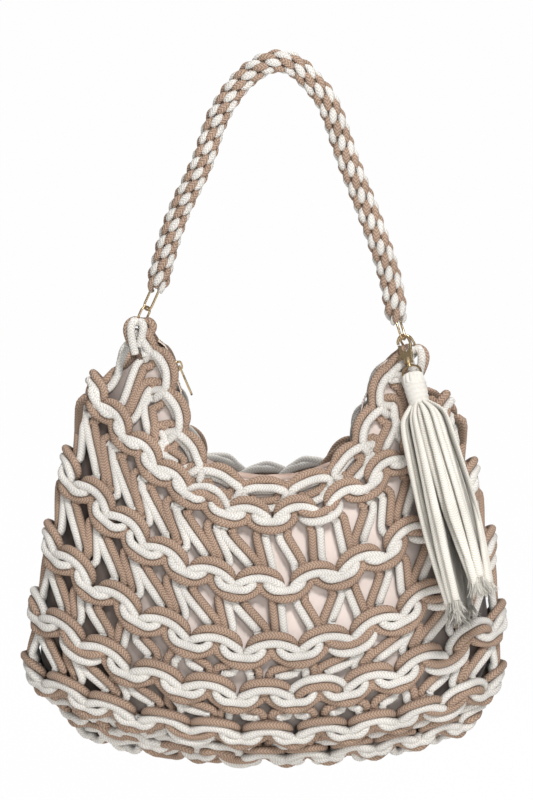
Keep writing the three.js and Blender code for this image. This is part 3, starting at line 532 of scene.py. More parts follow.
class NetRow:
    """One row of interlocked loops: places on it are given in millimetres from a stitch's middle."""

    def __init__(self, row, stitches, lift, dice, course):
        self.row, self.stitches, self.lift, self.course = row, stitches, lift, course
        self.shifts = [dice.uniform(-1, 1) for _ in range(stitches)]
        self.crowns = [dice.uniform(-1, 1) for _ in range(stitches)]
        # the rim's loops have taupe outside at the front, and mostly ivory at the back
        rim = [1.0 if cos(2 * pi * i / stitches) > -0.1 else -0.6 for i in range(stitches)]
        self.flips = [dice.random() + (rim[i] if row == 0 else 0.0) for i in range(stitches)]

    def share(self, stitch):
        wobble = self.shifts[int(stitch) % self.stitches] * 0.05
        aside = (stitch / self.stitches + 0.5) % 1.0 - 0.5
        near = exp(-(aside / 0.15) ** 2)
        return (stitch + ROW_PHASES[self.row] * near + wobble) / self.stitches

    def pitch(self, stitch):
        return bag_frame(self.share(stitch), self.course)[4] / self.stitches

    def place(self, stitch, x, up, out):
        """A point x along from a stitch's middle, and the outward normal there."""
        share = self.share(stitch)
        turn = bag_frame(share, self.course)[4]
        here, _, rise, normal, _ = bag_frame(share + x / turn, self.course)
        lift = self.lift
        if self.row == 0:
            # the rim is drawn up towards both peaks
            lift += 5.5 * abs(sin(2 * pi * share)) ** 3
        return here + rise * (up + lift) + normal * out, normal


def arc_points(row, stitch, sign, size, turn_start, turn_mid, turn_end, lean):
    """Control points of a loop's arc: sign 1 is a crown that opens down, -1 one that opens up."""
    half = max(row.pitch(stitch) / 2 - size["tuck"], size["pair"] * 0.5)
    rise = size["arc_rise"]
    crown = size["crown"] + row.crowns[int(stitch) % row.stitches] * size["wobble"]
    rows = []
    for degrees in (-84, -58, -30, 0, 30, 58, 84):
        angle = radians(degrees)
        x = half * sin(angle)
        up = sign * (crown - rise + rise * cos(angle))
        front = cos(angle) ** 0.5
        out = size["depth"] * (2 * front - 1)
        share = degrees / 84
        if share < 0:
            twist = turn_mid + (turn_start - turn_mid) * abs(share) ** 2
        else:
            twist = turn_mid + (turn_end - turn_mid) * share ** 2
        twist += lean * sin(pi * abs(share)) if abs(share) < 1 else 0.0
        point, normal = row.place(stitch, x, up, out)
        rows.append((*point, *normal, twist))
    return rows


def yarn_line(upper, lower, size):
    """Control points (place, normal, twist) of one doubled cord round the bag: crowns on the
    upper row, legs behind, and upturned loops on the lower row."""
    rows = []
    legs = -pi

    def leg(row, stitch, x, heights):
        for up in heights:
            point, normal = row.place(stitch, x, up, -size["depth"])
            rows.append((*point, *normal, legs))

    for stitch in range(upper.stitches):
        flip = upper.flips[stitch] < size["flip_share"]
        crown_twist = -pi if flip else 0.0
        lean = -0.6 if flip else 0.0
        start, end = (legs, legs) if flip else (-0.6 * pi, -0.6 * pi)
        rows.extend(arc_points(upper, stitch, 1, size, start, crown_twist, end, lean))
        low = stitch + 0.5
        half = upper.pitch(stitch) / 2 - size["pair"] / 2
        lower_half = lower.pitch(low) / 2 - size["pair"] / 2
        half_next = upper.pitch(stitch + 1) / 2 - size["pair"] / 2
        gap = np.linalg.norm(upper.place(stitch, 0, 0, 0)[0] - lower.place(low, 0, 0, 0)[0])
        near, far = min(size["crown"] + 3.0, 0.34 * gap), min(size["reach"], 0.43 * gap)
        leg(upper, stitch, half, (-near, -far))
        leg(lower, low, -lower_half, (far, near))
        if lower.flips[(stitch * 7 + 3) % lower.stitches] < size["flip_share"]:
            rows.extend(arc_points(lower, low, -1, size, -1.5 * pi, -2 * pi, -1.5 * pi, 0.0))
        else:
            rows.extend(arc_points(lower, low, -1, size, legs, legs, legs, 0.75))
        leg(lower, low, lower_half, (near, far))
        leg(upper, stitch + 1, -half_next, (-far, -near))
    return rows


# across as a share of a stitch, up and out
RIM_LOOP = ((-0.66, -5.0, -3.5), (-0.36, 1.5, -1.2), (0.0, 4.6, -1.6), (0.34, 3.2, -3.2), (0.6, -2.5, -6.5),
            (0.5, -8.0, -8.0))


def rim_line(row):
    """Control points of the cast-off edge: slanting loops that overlap like tiles."""
    rows = []
    for stitch in range(row.stitches):
        pitch = row.pitch(stitch)
        flip = pi if row.flips[stitch] < 0.35 else 0.0
        for x, up, out in RIM_LOOP:
            point, normal = row.place(stitch, x * pitch, up, out)
            rows.append((*point, *normal, flip + 0.35))
    return rows


def add_pair(taupe, ivory, rows, per_span, radius, sides):
    """Two cords side by side along a closed line of places, normals and twists."""
    fine = smooth_curve(rows, per_span)
    middle, twist = fine[:, :3], fine[:, 6:7]
    run = tangents(middle, True)
    normals = squared(fine[:, 3:6], run)
    aside = np.cross(normals, run) * np.cos(twist) + normals * np.sin(twist)
    for sweeps, sign in ((taupe, 1), (ivory, -1)):
        sweeps.add(middle + sign * radius * aside, normals, radius * 0.985, sides=sides)


# The handle's line, the links and the hook's frame, in millimetres

LINK_WIRE = 1.9
LINK_WIDTH = 11.0
LINK_PLAY = 0.4
HANDLE_SPAN = 191.6
HANDLE_HEIGHT = 208.0
HANDLE_DIAMETER = 18.6
HANDLE_EYE_SETBACK = 4.5
# places along the handle: aside as a share of its span, down as one of its height, and forward
# as one of its diameter
HANDLE_LINE = (
    (-0.513, 0.882, 0), (-0.507, 0.84, 0), (-0.457, 0.672, 0), (-0.409, 0.553, 0), (-0.322, 0.384, 0),
    (-0.259, 0.216, 0), (-0.171, 0.088, 0), (-0.075, 0.016, 0), (0, 0, 0), (0.06, 0.017, 0),
    (0.117, 0.064, 0), (0.2, 0.165, 0), (0.28, 0.376, 0), (0.372, 0.594, 0.05), (0.453, 0.816, 0.12),
    (0.489, 1, 0.16),
)
LEFT_PEAK_REACH = (4.9, 0.0, 11.8)
RIGHT_PEAK_REACH = (-1.0, -2.0, 8.2)
LEFT_LINK = {"share": 0.677, "draw": (0.0, 0.0, 0.0), "turn": 50, "aside": 0.0}
RIGHT_LINK = {"share": 0.68, "draw": (-2.4, -5.8, 0.0), "turn": -70, "aside": -1.5}
HOOK_TURNS = (-22, -13.7, -20)
HOOK_PLACE = (102.793, -17.233, -230.142)


def handle_line(count):
    points = [(a * HANDLE_SPAN, -f * HANDLE_DIAMETER, HANDLE_DIAMETER / 2 - d * HANDLE_HEIGHT)
              for a, d, f in HANDLE_LINE]
    return evenly(smooth_curve(points, 12, closed=False), count)


def along_line(line, share):
    """The place at a share of an even line, with the number of the point before it."""
    place = share * (len(line) - 1)
    i = min(int(place), len(line) - 2)
    return line[i] * (1 - (place - i)) + line[i + 1] * (place - i), i


def handle_eye(side):
    line, length = handle_line(400)
    share = HANDLE_EYE_SETBACK / length
    return along_line(line, share if side == "left" else 1 - share)[0]


def link_between(start, end, turn):
    """A link from start to end, turned about its length by some degrees."""
    along = unit(end - start)
    flat = unit(np.cross((0.0, 1.0, 0.0), along))
    angle = radians(turn)
    across = flat * cos(angle) + np.cross(along, flat) * sin(angle)
    return {"start": start, "end": end, "along": along, "across": across}


def chain_side(side, peak_reach, link):
    """The two links of a side: the lower one rests in the upper one's end and hooks the peak."""
    eye = handle_eye(side)
    hooked = np.array(surface_point(-pi / 2 if side == "left" else pi / 2, 0)) + peak_reach
    meet = eye + (hooked - eye) * link["share"] + link["draw"]
    upper = link_between(eye, meet, link["turn"])
    end_radius = (LINK_WIDTH - LINK_WIRE) / 2
    room = end_radius - LINK_WIRE - LINK_PLAY
    depth = sqrt(room ** 2 - link["aside"] ** 2) - end_radius
    hold = upper["end"] + upper["along"] * depth + upper["across"] * link["aside"]
    return upper, link_between(hold, hooked, link["turn"] + 90)


LEFT_CHAIN = chain_side("left", LEFT_PEAK_REACH, LEFT_LINK)
RIGHT_CHAIN = chain_side("right", RIGHT_PEAK_REACH, RIGHT_LINK)


def hook_matrix():
    """The snap hook's frame: its Z axis runs up the hook."""
    about_x, about_y, about_z = (Matrix.Rotation(radians(HOOK_TURNS[i]), 3, "XYZ"[i]) for i in range(3))
    return np.array(about_x @ about_y @ about_z), np.array(HOOK_PLACE)


# Settings that a user would change

def colour_setting(name, what, default):
    return bpy.props.StringProperty(name=name, description="sRGB hex colour of " + what, default=default)


def length_setting(name, description, default, low, high):
    """A length in millimetres, kept in metres."""
    return bpy.props.FloatProperty(name=name, description=description, default=default * MM, min=low * MM,
                                   max=high * MM, unit="LENGTH")


def count_setting(name, description, default, low, high):
    return bpy.props.IntProperty(name=name, description=description, default=default, min=low, max=high)


class BagColours(bpy.types.PropertyGroup):
    taupe: colour_setting("Taupe cord", "the darker cord", "#C0A490")
    ivory: colour_setting("Ivory cord", "the lighter cord", "#F0EDE9")
    tassel: colour_setting("Tassel", "the tassel's cords", "#F3F0EA")
    lining: colour_setting("Lining", "the lining cloth", "#FFF1E9")
    gold: colour_setting("Metal", "the plated metal", "#D9C4A0")


class BagNet(bpy.types.PropertyGroup):
    cord: length_setting("Cord", "Diameter of one cord of the net", 6.8, 3, 9)
    stitches: count_setting("Stitches", "Stitches round the bag", 20, 12, 32)
    crown: length_setting("Crown", "Height of a loop's crown above its row", 8.8, 4, 14)
    arc_rise: length_setting("Arc rise", "Rise of a loop from its ends to its crown", 12, 6, 20)
    depth: length_setting("Depth", "How far loops stand out from the middle of the net", 3.3, 0, 6)
    flip_share: bpy.props.FloatProperty(name="Swapped loops", default=0.3, min=0.0, max=1.0, subtype="FACTOR",
                                        description="Share of loops with swapped colours")
    sides: count_setting("Sides", "Sides of a cord's mesh", 10, 6, 16)


class BagHandle(bpy.types.PropertyGroup):
    spacing: length_setting("Plait spacing", "Distance along between plaits", 11.2, 6, 16)
    columns: count_setting("Columns", "Plaits round the handle", 7, 5, 12)
    plait_length: length_setting("Plait length", "Length of one plait's lump", 12.4, 8, 24)
    plait_width: length_setting("Plait width", "Width of one plait's lump", 6.7, 4, 12)


class BagTassel(bpy.types.PropertyGroup):
    strands: count_setting("Strands", "Cords in the tassel", 33, 8, 60)
    width: length_setting("Strand width", "Width of one cord", 6.2, 2, 10)
    fray: length_setting("Fray", "Length of the frayed ends", 13, 0, 30)


# Operators, one for each piece or group of like pieces

def checked(obj, least=100):
    """Stops the build where a piece has come out empty."""
    if len(obj.data.vertices) < least:
        raise RuntimeError(f"{obj.name} has only {len(obj.data.vertices)} vertices")
    return obj


class BAG_OT_net(bpy.types.Operator):
    """Build the net of doubled cords, row by row"""
    bl_idname = "bag.net"
    bl_label = "Net"

    def execute(self, context):
        settings = context.scene.bag_net
        radius = settings.cord / MM / 2
        size = {
            "pair": 4 * radius, "crown": settings.crown / MM, "arc_rise": settings.arc_rise / MM,
            "depth": settings.depth / MM, "reach": settings.crown / MM + 2 * radius + 1.0,
            "tuck": 0.75 * radius, "wobble": 1.1, "flip_share": settings.flip_share,
        }
        rim = {**size, "crown": 6.0, "arc_rise": 9.0}
        dice = random.Random(11)
        net_rows = [NetRow(i, settings.stitches, 0 if i else 0.5 - rim["crown"], dice,
                           LAST_LOOPS if i == SEAM_COURSE else i) for i in range(SEAM_COURSE + 1)]
        for label, first, last in (("upper", 0, 3), ("lower", 3, SEAM_COURSE)):
            taupe, ivory = Sweeps(), Sweeps()
            for row in range(first, last):
                line = yarn_line(net_rows[row], net_rows[row + 1], rim if row == 0 else size)
                add_pair(taupe, ivory, line, 3, radius, settings.sides)
            if label == "upper":
                add_pair(taupe, ivory, rim_line(net_rows[0]), 6, radius, settings.sides)
                for chain, side in ((LEFT_CHAIN, 1), (RIGHT_CHAIN, -1)):
                    self.peak_loops(taupe, ivory, chain[1], radius, side)
            else:
                seam = NetRow(SEAM_COURSE, settings.stitches, 2.0, dice, SEAM_COURSE)
                add_pair(taupe, ivory, rim_line(seam), 5, radius, settings.sides)
            for sweeps, colour in ((taupe, "taupe"), (ivory, "ivory")):
                obj = sweeps.build(f"net_{label}_{colour}", [finish(f"{colour}_cord")])
                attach(checked(obj), "bag")
                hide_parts("net_body")
        return {"FINISHED"}

    # across, up and out from the link's end: one doubled cord through the link, in two bumps
    peak_line = ((-4.0, -26.0, 1.0), (-9.0, -16.0, 2.0), (-11.5, -7.5, 2.5), (-10.0, 0.0, 1.5),
                 (-5.5, 3.6, 0.5), (-1.0, 2.2, -2.0), (3.0, 2.0, -1.0), (7.5, 2.4, 1.0), (10.5, -2.5, 2.5),
                 (8.5, -10.0, 2.0), (4.0, -20.0, 1.0))

    def peak_loops(self, taupe, ivory, link, radius, side):
        """The doubled cord at a peak: it runs through the link and down into the net on both sides."""
        end = link["end"]
        for sweeps, shrink, forward in ((taupe, 0.94, 0.0), (ivory, 0.45, 4.2)):
            line = []
            for x, up, out in self.peak_line:
                fall = (up + 8.0) * (0.72 if up > -12 else 1.0) - 8.0
                line.append(end + (side * (x * shrink - (1 - shrink) * 5.0), -out - forward, fall))
            fine = smooth_curve(line, 5, False)
            sweeps.add(fine, np.tile((0.0, -1.0, 0.0), (len(fine), 1)), radius, sides=10, closed=False)


class BAG_OT_lining(bpy.types.Operator):
    """Build the cloth lining that sags inside the net"""
    bl_idname = "bag.lining"
    bl_label = "Lining"

    # course, reach and depth as shares of the net's, and lift as a share of its thickness
    rings = ((0, 0.93, 0.66, -0.1), (1, 0.94, 0.76, 0), (2, 0.94, 0.83, 0), (3, 0.96, 0.87, 0),
             (4, 0.962, 0.88, 0.15), (5, 0.95, 0.82, 0.45), (6, 0.88, 0.68, 0.7))

    def ring_point(self, angle, place):
        course, reach, depth, lift = spline_row(np.array(self.rings, float), place)
        across = sin(angle)
        _, _, z = surface_point(asin(max(-1.0, min(1.0, reach * across))), course)
        row = spline_row(COURSES, course)
        wide = (row[1] if across > 0 else row[0]) * NET_WIDTH * reach / 2
        deep = row[5] * NET_DEPTH * depth / 2
        pinched = copysign(abs(cos(angle)) ** row[6], cos(angle))
        return np.array((BODY_SHIFT + wide * across, -deep * pinched, z + lift * NET_WALL))

    def execute(self, context):
        around, sides, bottom_rows = 160, 56, 10
        down = sides + bottom_rows
        points = []
        for i in range(down + 1):
            place = min(LAST_COURSE * i / sides, LAST_COURSE)
            turn = max(0.0, (i - sides) / bottom_rows) * pi / 2
            for k in range(around):
                angle = 2 * pi * k / around
                p = self.ring_point(angle, place)
                if turn:
                    seam_x = BODY_SHIFT + (p[0] - BODY_SHIFT) * BOTTOM_SEAM_SHARE
                    bottom = seam_height(seam_x) + NET_WALL / 2 + 1.0
                    p[1] *= cos(turn)
                    p[2] += (bottom - p[2]) * sin(turn)
                    p[0] += (seam_x - p[0]) * (1 - cos(turn))
                # gathers hang from the mouth, the cloth sags between them and creases finely
                fade = sin(pi * min(i / down, 1)) ** 0.5 * cos(turn) if i else 0.0
                gather = 1.1 * sin(23 * angle + 1.7 * sin(0.13 * i)) * (1 - i / down) ** 2
                sag = 1.6 * sin(7 * angle + 0.11 * i) * sin(0.19 * i + 2 * sin(3 * angle))
                crease = 0.9 * sin(0.55 * i + 9 * sin(angle) + 2 * sin(5 * angle))
                push = (gather + (sag + crease) * fade) - 0.6
                out = unit(np.array((p[0] - BODY_SHIFT, p[1] * 3, 0.0)))
                points.append(p + out * push)
        faces = [(i * around + k, (i + 1) * around + k, (i + 1) * around + (k + 1) % around,
                  i * around + (k + 1) % around) for i in range(down) for k in range(around)]
        mesh = bpy.data.meshes.new("lining_cloth")
        mesh.from_pydata((np.array(points) * MM).tolist(), [], faces)
        mesh.materials.append(finish("lining_cloth"))
        mesh.polygons.foreach_set("use_smooth", [True] * len(mesh.polygons))
        mesh.update()
        obj = bpy.data.objects.new("lining_cloth", mesh)
        context.scene.collection.objects.link(obj)
        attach(checked(obj), "bag")
        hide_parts("lining")
        return {"FINISHED"}


class BAG_OT_zip(bpy.types.Operator):
    """Build the open zip along the mouth, with its teeth"""
    bl_idname = "bag.zip"
    bl_label = "Zip"

    # in millimetres: the tape's depth below the rim at the front and its height at the peaks,
    # how wide the zip stands open, its tape's half thickness and the spacing of its teeth
    sink, peak_rise, open_half, tape_half, pitch = 7.5, 8.5, 13.0, 0.6, 2.6
    # how far round the mouth the tape and the open stretch reach, and where the climb ends
    reach, open_reach, full_climb = 1.06, 0.84, 0.6

    def station(self, angle):
        """The middle of the mouth there, the way up, and the room for the tape at each side."""
        step = 0.02
        here, before, after = (np.array(surface_point(a, 0)) for a in (angle, angle - step, angle + step))
        along = unit(np.array((after[0] - before[0], 0.0, after[2] - before[2])))
        up = np.array((-along[2], 0.0, along[0]))
        climb = float(np.interp(abs(sin(angle)), MOUTH_CLIMB[:, 0], MOUTH_CLIMB[:, 1]))
        rise = -self.sink + (self.peak_rise + self.sink) * min(1.0, climb / self.full_climb)
        middle = np.array((here[0], 0.0, here[2])) + up * rise
        return middle, up, abs(here[1]) - NET_WALL / 2 - 1.4

    def execute(self, context):
        count = 120
        tapes = Sweeps()
        teeth = Sweeps()
        for side in (-1, 1):
            outer, inner, ups = [], [], []
            for i in range(count + 1):
                share = 2 * i / count - 1
                middle, up, room = self.station(self.reach * share)
                half = max(4.5, room)
                slot_share = min(1.0, abs(share) * self.reach / self.open_reach)
                slot = min(0.4 + self.open_half * (1 - slot_share ** 2), max(0.4, room - 2))
                wave = 0.35 * sin(0.5 * i + side)
                outer.append(middle + (0, side * half, 0) + up * wave)
                inner.append(middle + (0, side * slot, 0) + up * wave * 0.4)
                ups.append(up)
            outer, inner, ups = np.array(outer), np.array(inner), np.array(ups)
            wide = np.abs(outer[:, 1] - inner[:, 1]) / 2
            tapes.add((outer + inner) / 2, ups, wide, self.tape_half, sides=10, closed=False)
            far = walked(inner)
            for number in range(int(far[-1] / self.pitch)):
                # the two rows' teeth stand half a pitch apart, so that they would mesh
                at = (number + (0.5 if side > 0 else 0.0)) * self.pitch
                middle = np.array([np.interp(at, far, inner[:, a]) for a in range(3)])
                up = unit(np.array([np.interp(at, far, ups[:, a]) for a in range(3)]))
                line = np.array([middle + (0, side * 1.6, 0), middle + (0, -side * 0.15, 0)])
                teeth.add(line, np.array([up, up]), 0.75, 1.0, sides=6, closed=False)
        tape = tapes.build("zip_tapes", [finish("zip_cloth")])
        row = teeth.build("zip_teeth", [finish("gold")])
        for obj in (tape, row):
            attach(checked(obj), "bag")
        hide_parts("zip_tape")
        for name in ("zip_slider", "zip_pull"):
            dress_node(name, finish("gold"))
        return {"FINISHED"}


class BAG_OT_handle(bpy.types.Operator):
    """Build the round braided handle from its plaits"""
    bl_idname = "bag.handle"
    bl_label = "Handle"

    def execute(self, context):
        settings = context.scene.bag_handle
        line, length = handle_line(800)
        run = tangents(line, False)
        front = squared(np.tile((0.0, -1.0, 0.0), (len(line), 1)), run)
        side = np.cross(front, run)
        spacing, columns = settings.spacing / MM, settings.columns
        # how far each column starts after the one beside it, and how far round its plaits slant
        shift, slant = spacing * 4 / columns, 0.34
        lump, wide = settings.plait_length / MM, settings.plait_width / MM
        core_radius = HANDLE_DIAMETER / 2 - wide * 0.42
        sweeps = Sweeps()
        dice = random.Random(5)

        def at(distance, angle, radius):
            middle, i = along_line(line, min(max(distance / length, 0.0), 1.0))
            out = front[i] * cos(angle) + side[i] * sin(angle)
            return middle + out * radius, out

        for j in range(columns):
            for i in range(-6, int(length / spacing) + 2):
                centre = i * spacing + j * shift + dice.uniform(-0.4, 0.4)
                if centre < 1.0 or centre > length - 1.0:
                    continue
                angle = 2 * pi * j / columns
                ends = min(centre, length - centre)
                pinch = min(1.0, 0.62 + ends / 22)
                points, normals, widths, thicks = [], [], [], []
                for n in range(9):
                    t = n / 4 - 1
                    bulge = cos(t * pi / 2)
                    radius = (core_radius * 0.55 + (core_radius * 0.45 + 0.2) * bulge ** 0.5) * pinch
                    point, out = at(centre + t * lump / 2, angle - slant * t, radius)
                    points.append(point)
                    normals.append(out)
                    grow = 0.36 + 0.64 * bulge ** 0.55
                    widths.append(wide / 2 * grow * pinch)
                    thicks.append(wide / 2 * 0.92 * grow * pinch)
                sweeps.add(points, np.array(normals), widths, thicks, sides=8, closed=False, slot=i % 2)
        rings = np.linspace(3, length - 3, 90)
        core = np.array([at(d, 0, 0)[0] for d in rings])
        sweeps.add(core, carried_normals(core, (0, -1, 0)), core_radius * 0.72, sides=10, closed=False)
        obj = sweeps.build("handle_plaits", [finish("taupe_cord"), finish("ivory_cord")])
        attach(checked(obj), "bag")
        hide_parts("handle_braid")
        return {"FINISHED"}


class BAG_OT_metal(bpy.types.Operator):
    """Model the round-wire links and finish the metal pieces"""
    bl_idname = "bag.metal"
    bl_label = "Links and hook"

    def link(self, name, link):
        """An oval link: a torus whose two halves are drawn apart, then set between its ends."""
        deselect()
        width = (LINK_WIDTH - LINK_WIRE) / 2 * MM
        bpy.ops.mesh.primitive_torus_add(major_radius=width, minor_radius=LINK_WIRE / 2 * MM,
                                         major_segments=48, minor_segments=14)
        obj = bpy.context.object
        obj.name = obj.data.name = name
        stretch = (np.linalg.norm(link["end"] - link["start"]) * MM - 2 * width) / 2
        for half in (1, -1):
            bpy.ops.object.mode_set(mode="OBJECT")
            for vertex in obj.data.vertices:
                vertex.select = vertex.co.y * half > 1e-6
            for part in (*obj.data.polygons, *obj.data.edges):
                part.select = False
            bpy.ops.object.mode_set(mode="EDIT")
            bpy.ops.mesh.select_mode(type="VERT")
            bpy.ops.transform.translate(value=(0, half * stretch, 0))
        bpy.ops.object.mode_set(mode="OBJECT")
        across, along = link["across"], link["along"]
        matrix = np.eye(4)
        middle = (link["start"] + link["end"]) / 2 * MM
        matrix[:3] = np.stack((across, along, np.cross(across, along), middle), axis=1)
        obj.data.transform(Matrix(matrix))
        bpy.ops.object.shade_smooth()
        obj.data.materials.append(finish("gold"))
        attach(obj, "bag")
        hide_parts(name.replace("_wire", ""))

    def execute(self, context):
        for side, chain in (("left", LEFT_CHAIN), ("right", RIGHT_CHAIN)):
            self.link(f"{side}_handle_link_wire", chain[0])
            self.link(f"{side}_peak_link_wire", chain[1])
        for name in ("snap_hook", "snap_gate", "swivel_eye"):
            dress_node(name, finish("gold"))
        return {"FINISHED"}


class BAG_OT_tassel(bpy.types.Operator):
    """Build the tassel: wound head, cords and frayed ends"""
    bl_idname = "bag.tassel"
    bl_label = "Tassel"

    # down the skirt, and its radius there as a share of half its spread
    form = np.array([(0, 0.2), (0.04, 0.38), (0.1, 0.54), (0.3, 0.62), (0.5, 0.68), (0.8, 0.72), (1, 0.7)])
    spread, top, foot = 55.0, -32.6, -208.0
    # the head's heights below the hook's place, and its radius at each
    head_form = ((-8.4, 3.6), (-9.2, 6.4), (-11.0, 7.7), (-13.5, 8.5), (-17.0, 8.8), (-22.0, 8.7),
                 (-27.0, 8.3), (-31.5, 7.9), (-33.6, 7.7), (-35.2, 7.2))
    # out and up along a fold of the head's top
    fold = ((3.2, -8.6), (6.6, -9.6), (7.7, -12.4), (7.9, -16.5))

    def execute(self, context):
        settings = context.scene.bag_tassel
        turn, place = hook_matrix()
        dice = random.Random(23)
        sweeps = Sweeps()
        wide = settings.width / MM / 2

        def world(points):
            return np.asarray(points) @ turn.T + place

        for number in range(settings.strands):
            layer = number % 3
            # the golden angle spreads the cords evenly
            around = 2 * pi * (number * 0.381966)
            reach = (1.0, 0.78, 0.45)[layer] * dice.uniform(0.94, 1.02)
            right = cos(around) > 0.05
            bunch = 14.5 if right else -14.0
            cluster = dice.uniform(-0.25, 0.25)
            length = (self.top - self.foot) * dice.uniform(0.93, 0.985) * (0.9 if right else 1.0)
            phase, sway = dice.uniform(0, 6.3), dice.uniform(1.2, 2.4)
            points, normals, widths = [], [], []
            for n in range(15):
                t = n / 14
                radius = np.interp(t, *self.form.T) * self.spread / 2 + 3.6 * min(1, t * 14)
                radius *= reach
                swirl = around + cluster * t ** 2
                shift = sway * sin(phase + 5 * t) * t
                x = radius * cos(swirl) + shift * sin(around)
                y = radius * sin(swirl) - shift * cos(around)
                # the cords' ends draw together in two bunches
                drawn = 0.5 * max(0.0, t - 0.62) / 0.38
                x += (bunch - x) * drawn
                y -= y * drawn * 0.7
                points.append((x, y, self.top - t * length))
                tilt = swirl + 0.5 * sin(phase + 3 * t)
                normals.append((cos(tilt), sin(tilt), 0.0))
                widths.append(wide * (0.7 + 0.3 * min(1, t * 5)) * (1 + 0.06 * sin(7 * t + phase)))
            fine = smooth_curve(np.column_stack([points, normals, widths]), 3, False)
            sweeps.add(world(fine[:, :3]), fine[:, 3:6] @ turn.T, fine[:, 6], fine[:, 6] * 0.74, sides=10,
                       closed=False)
            self.fray(sweeps, fine, world, turn, settings.fray / MM, dice)
        skirt = sweeps.build("tassel_cords", [finish("tassel_cord")])
        head = self.head(world, turn)
        for obj in (skirt, head):
            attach(checked(obj), "tassel_on_swivel")
        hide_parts("tassel")
        return {"FINISHED"}

    def fray(self, sweeps, fine, world, turn, length, dice):
        """Loose yarns at a cord's end."""
        end = fine[-1, :3]
        way = unit(fine[-1, :3] - fine[-4, :3])
        normal = unit(fine[-1, 3:6])
        aside = np.cross(way, normal)
        for _ in range(34):
            across = dice.uniform(-1, 1)
            through = dice.uniform(-1, 1)
            start = end + aside * across * fine[-1, 6] * 0.9 + normal * through * 1.2 - way * 2
            reach = length * dice.uniform(0.35, 1.0)
            flare = aside * (across * 0.35 + dice.uniform(-0.3, 0.3))
            flare += normal * (through * 0.3 + dice.uniform(-0.3, 0.3))
            bend = np.array([dice.uniform(-1, 1) for _ in range(3)]) * 0.12
            line = [start + (way + flare * (t * 0.9) + bend * t) * reach * t for t in (0.0, 0.35, 0.7, 1.0)]
            sweeps.add(world(line), np.tile(turn @ normal, (4, 1)), (0.42, 0.4, 0.34, 0.2), sides=4,
                       closed=False, caps=False)

    def head(self, world, turn):
        """The head: cord ends bound by close turns of thread."""
        sweeps = Sweeps()
        fine = smooth_curve(self.head_form, 9, False)
        # the turns of thread stand out in rolls below the folds
        ripple = 0.55 * np.abs(np.sin(fine[:, 0] * pi / 3.9)) * (fine[:, 0] < -15.5)
        line = np.stack([np.zeros(len(fine)), np.zeros(len(fine)), fine[:, 0]], axis=1)
        normals = np.tile((1.0, 0.0, 0.0), (len(fine), 1)) @ turn.T
        sweeps.add(world(line), normals, fine[:, 1] + ripple, sides=40, closed=False)
        for number in range(13):
            angle = 2 * pi * number / 13
            ray = np.array((cos(angle), sin(angle), 0.0))
            fold = world([ray * out + (0, 0, up) for out, up in self.fold])
            sweeps.add(smooth_curve(fold, 4, False), np.tile(turn @ ray, (13, 1)), 1.9, 1.3, sides=8,
                       closed=False)
        return sweeps.build("tassel_head", [finish("wrap")])


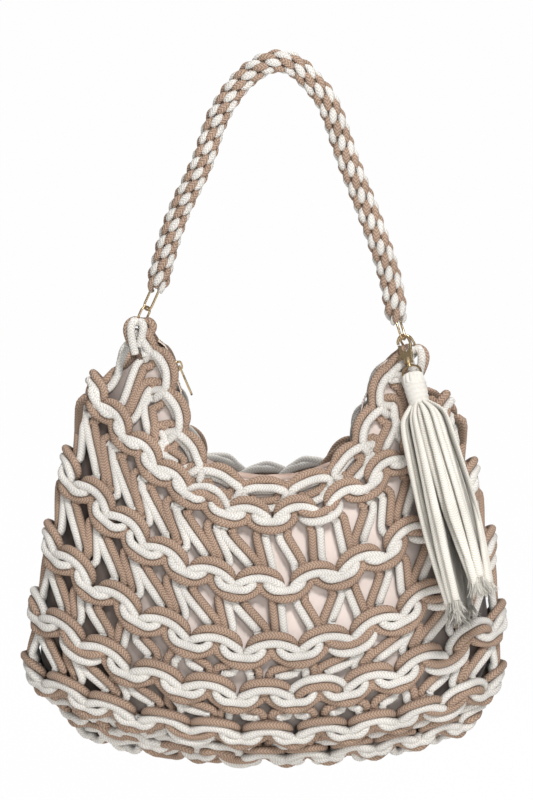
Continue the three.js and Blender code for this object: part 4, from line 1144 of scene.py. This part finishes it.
class BAG_OT_stage(bpy.types.Operator):
    """Set the camera, the pale floor and the soft studio lights"""
    bl_idname = "bag.stage"
    bl_label = "Stage"

    def light(self, name, place, target, size, power):
        data = bpy.data.lights.new(name, "AREA")
        data.shape = "DISK"
        data.size = size
        data.energy = power
        obj = bpy.data.objects.new(name, data)
        obj.location = place
        obj.rotation_euler = (Vector(target) - Vector(place)).to_track_quat("-Z", "Y").to_euler()
        bpy.context.scene.collection.objects.link(obj)

    def execute(self, context):
        scene = context.scene
        elevation, distance = radians(9), 4.0
        target = Vector((-0.0108, 0.0, -0.2621))
        data = bpy.data.cameras.new("camera")
        data.sensor_fit = "VERTICAL"
        data.sensor_height = 24
        data.lens = 150
        data.clip_end = 400
        camera = bpy.data.objects.new("camera", data)
        camera.location = target + Vector((0, -cos(elevation), sin(elevation))) * distance
        camera.rotation_euler = (target - camera.location).to_track_quat("-Z", "Y").to_euler()
        scene.collection.objects.link(camera)
        scene.camera = camera
        deselect()
        bpy.ops.mesh.primitive_circle_add(vertices=128, radius=150, fill_type="NGON", location=(0, 0, -0.66))
        floor = context.object
        floor.name = floor.data.name = "floor"
        bpy.ops.object.transform_apply(location=True)
        material, tree = new_material("matt_white_paper")
        shader = node(tree, "BsdfPrincipled", (0, 0),
                      inputs={"Base Color": linear("#FBFBFA"), "Roughness": 0.9})
        path = node(tree, "LightPath", (0, 300))
        glow = node(tree, "Emission", (0, -260), inputs={"Color": (1.0, 1.0, 1.0, 1.0)})
        lit = node(tree, "Math", (200, 240), {"operation": "MULTIPLY"}, {1: 0.985},
                   {0: path.outputs["Is Camera Ray"]})
        both = node(tree, "MixShader", (400, 0), links={0: lit, 1: shader,
                                                                 2: glow})
        node(tree, "OutputMaterial", (600, 0), links={"Surface": both})
        floor.data.materials.append(material)
        world = scene.world or bpy.data.worlds.new("studio")
        scene.world = world
        world.use_nodes = True
        sky = world.node_tree
        sky.nodes.clear()
        path = node(sky, "LightPath", (-600, 200))
        seen = node(sky, "MapRange", (-360, 100), inputs={1: 0.0, 2: 1.0, 3: 0.28, 4: 1.0},
                    links={0: path.outputs["Is Camera Ray"]})
        background = node(sky, "Background", (-120, 0), inputs={"Color": (1.0, 1.0, 1.0, 1.0)},
                          links={"Strength": seen})
        node(sky, "OutputWorld", (120, 0), links={"Surface": background})
        # place and target in metres, width in metres and power in watts
        self.light("key", (0.55, -1.9, 1.3), (0, 0, -0.3), 0.6, 40)
        self.light("fill", (0.25, -2.3, 0.15), (0, 0, -0.35), 0.5, 9)
        self.light("top", (0.1, 0.3, 1.8), (0, 0, -0.3), 0.7, 16)
        scene.view_settings.view_transform = "Standard"
        return {"FINISHED"}


class BAG_PT_panel(bpy.types.Panel):
    bl_idname = "BAG_PT_panel"
    bl_label = "Crochet handbag"
    bl_space_type = "VIEW_3D"
    bl_region_type = "UI"
    bl_category = "Handbag"

    def draw(self, context):
        for name in ("bag_colours", "bag_net", "bag_handle", "bag_tassel"):
            group = getattr(context.scene, name)
            box = self.layout.box()
            for prop in group.__annotations__:
                box.prop(group, prop)
        for operator in OPERATORS:
            self.layout.operator(operator.bl_idname)


GROUPS = {"bag_colours": BagColours, "bag_net": BagNet, "bag_handle": BagHandle, "bag_tassel": BagTassel}
OPERATORS = (BAG_OT_stage, BAG_OT_net, BAG_OT_lining, BAG_OT_zip, BAG_OT_handle, BAG_OT_metal,
             BAG_OT_tassel)


def register():
    for name, group in GROUPS.items():
        bpy.utils.register_class(group)
        setattr(bpy.types.Scene, name, bpy.props.PointerProperty(type=group))
    for cls in (*OPERATORS, BAG_PT_panel):
        bpy.utils.register_class(cls)


def unregister():
    for cls in (BAG_PT_panel, *reversed(OPERATORS)):
        bpy.utils.unregister_class(cls)
    for name, group in reversed(GROUPS.items()):
        delattr(bpy.types.Scene, name)
        bpy.utils.unregister_class(group)


def main():
    register()
    deselect()
    bpy.ops.bag.stage()
    bpy.ops.bag.net()
    bpy.ops.bag.lining()
    bpy.ops.bag.zip()
    bpy.ops.bag.handle()
    bpy.ops.bag.metal()
    bpy.ops.bag.tassel()


if __name__ == "__main__":
    main()
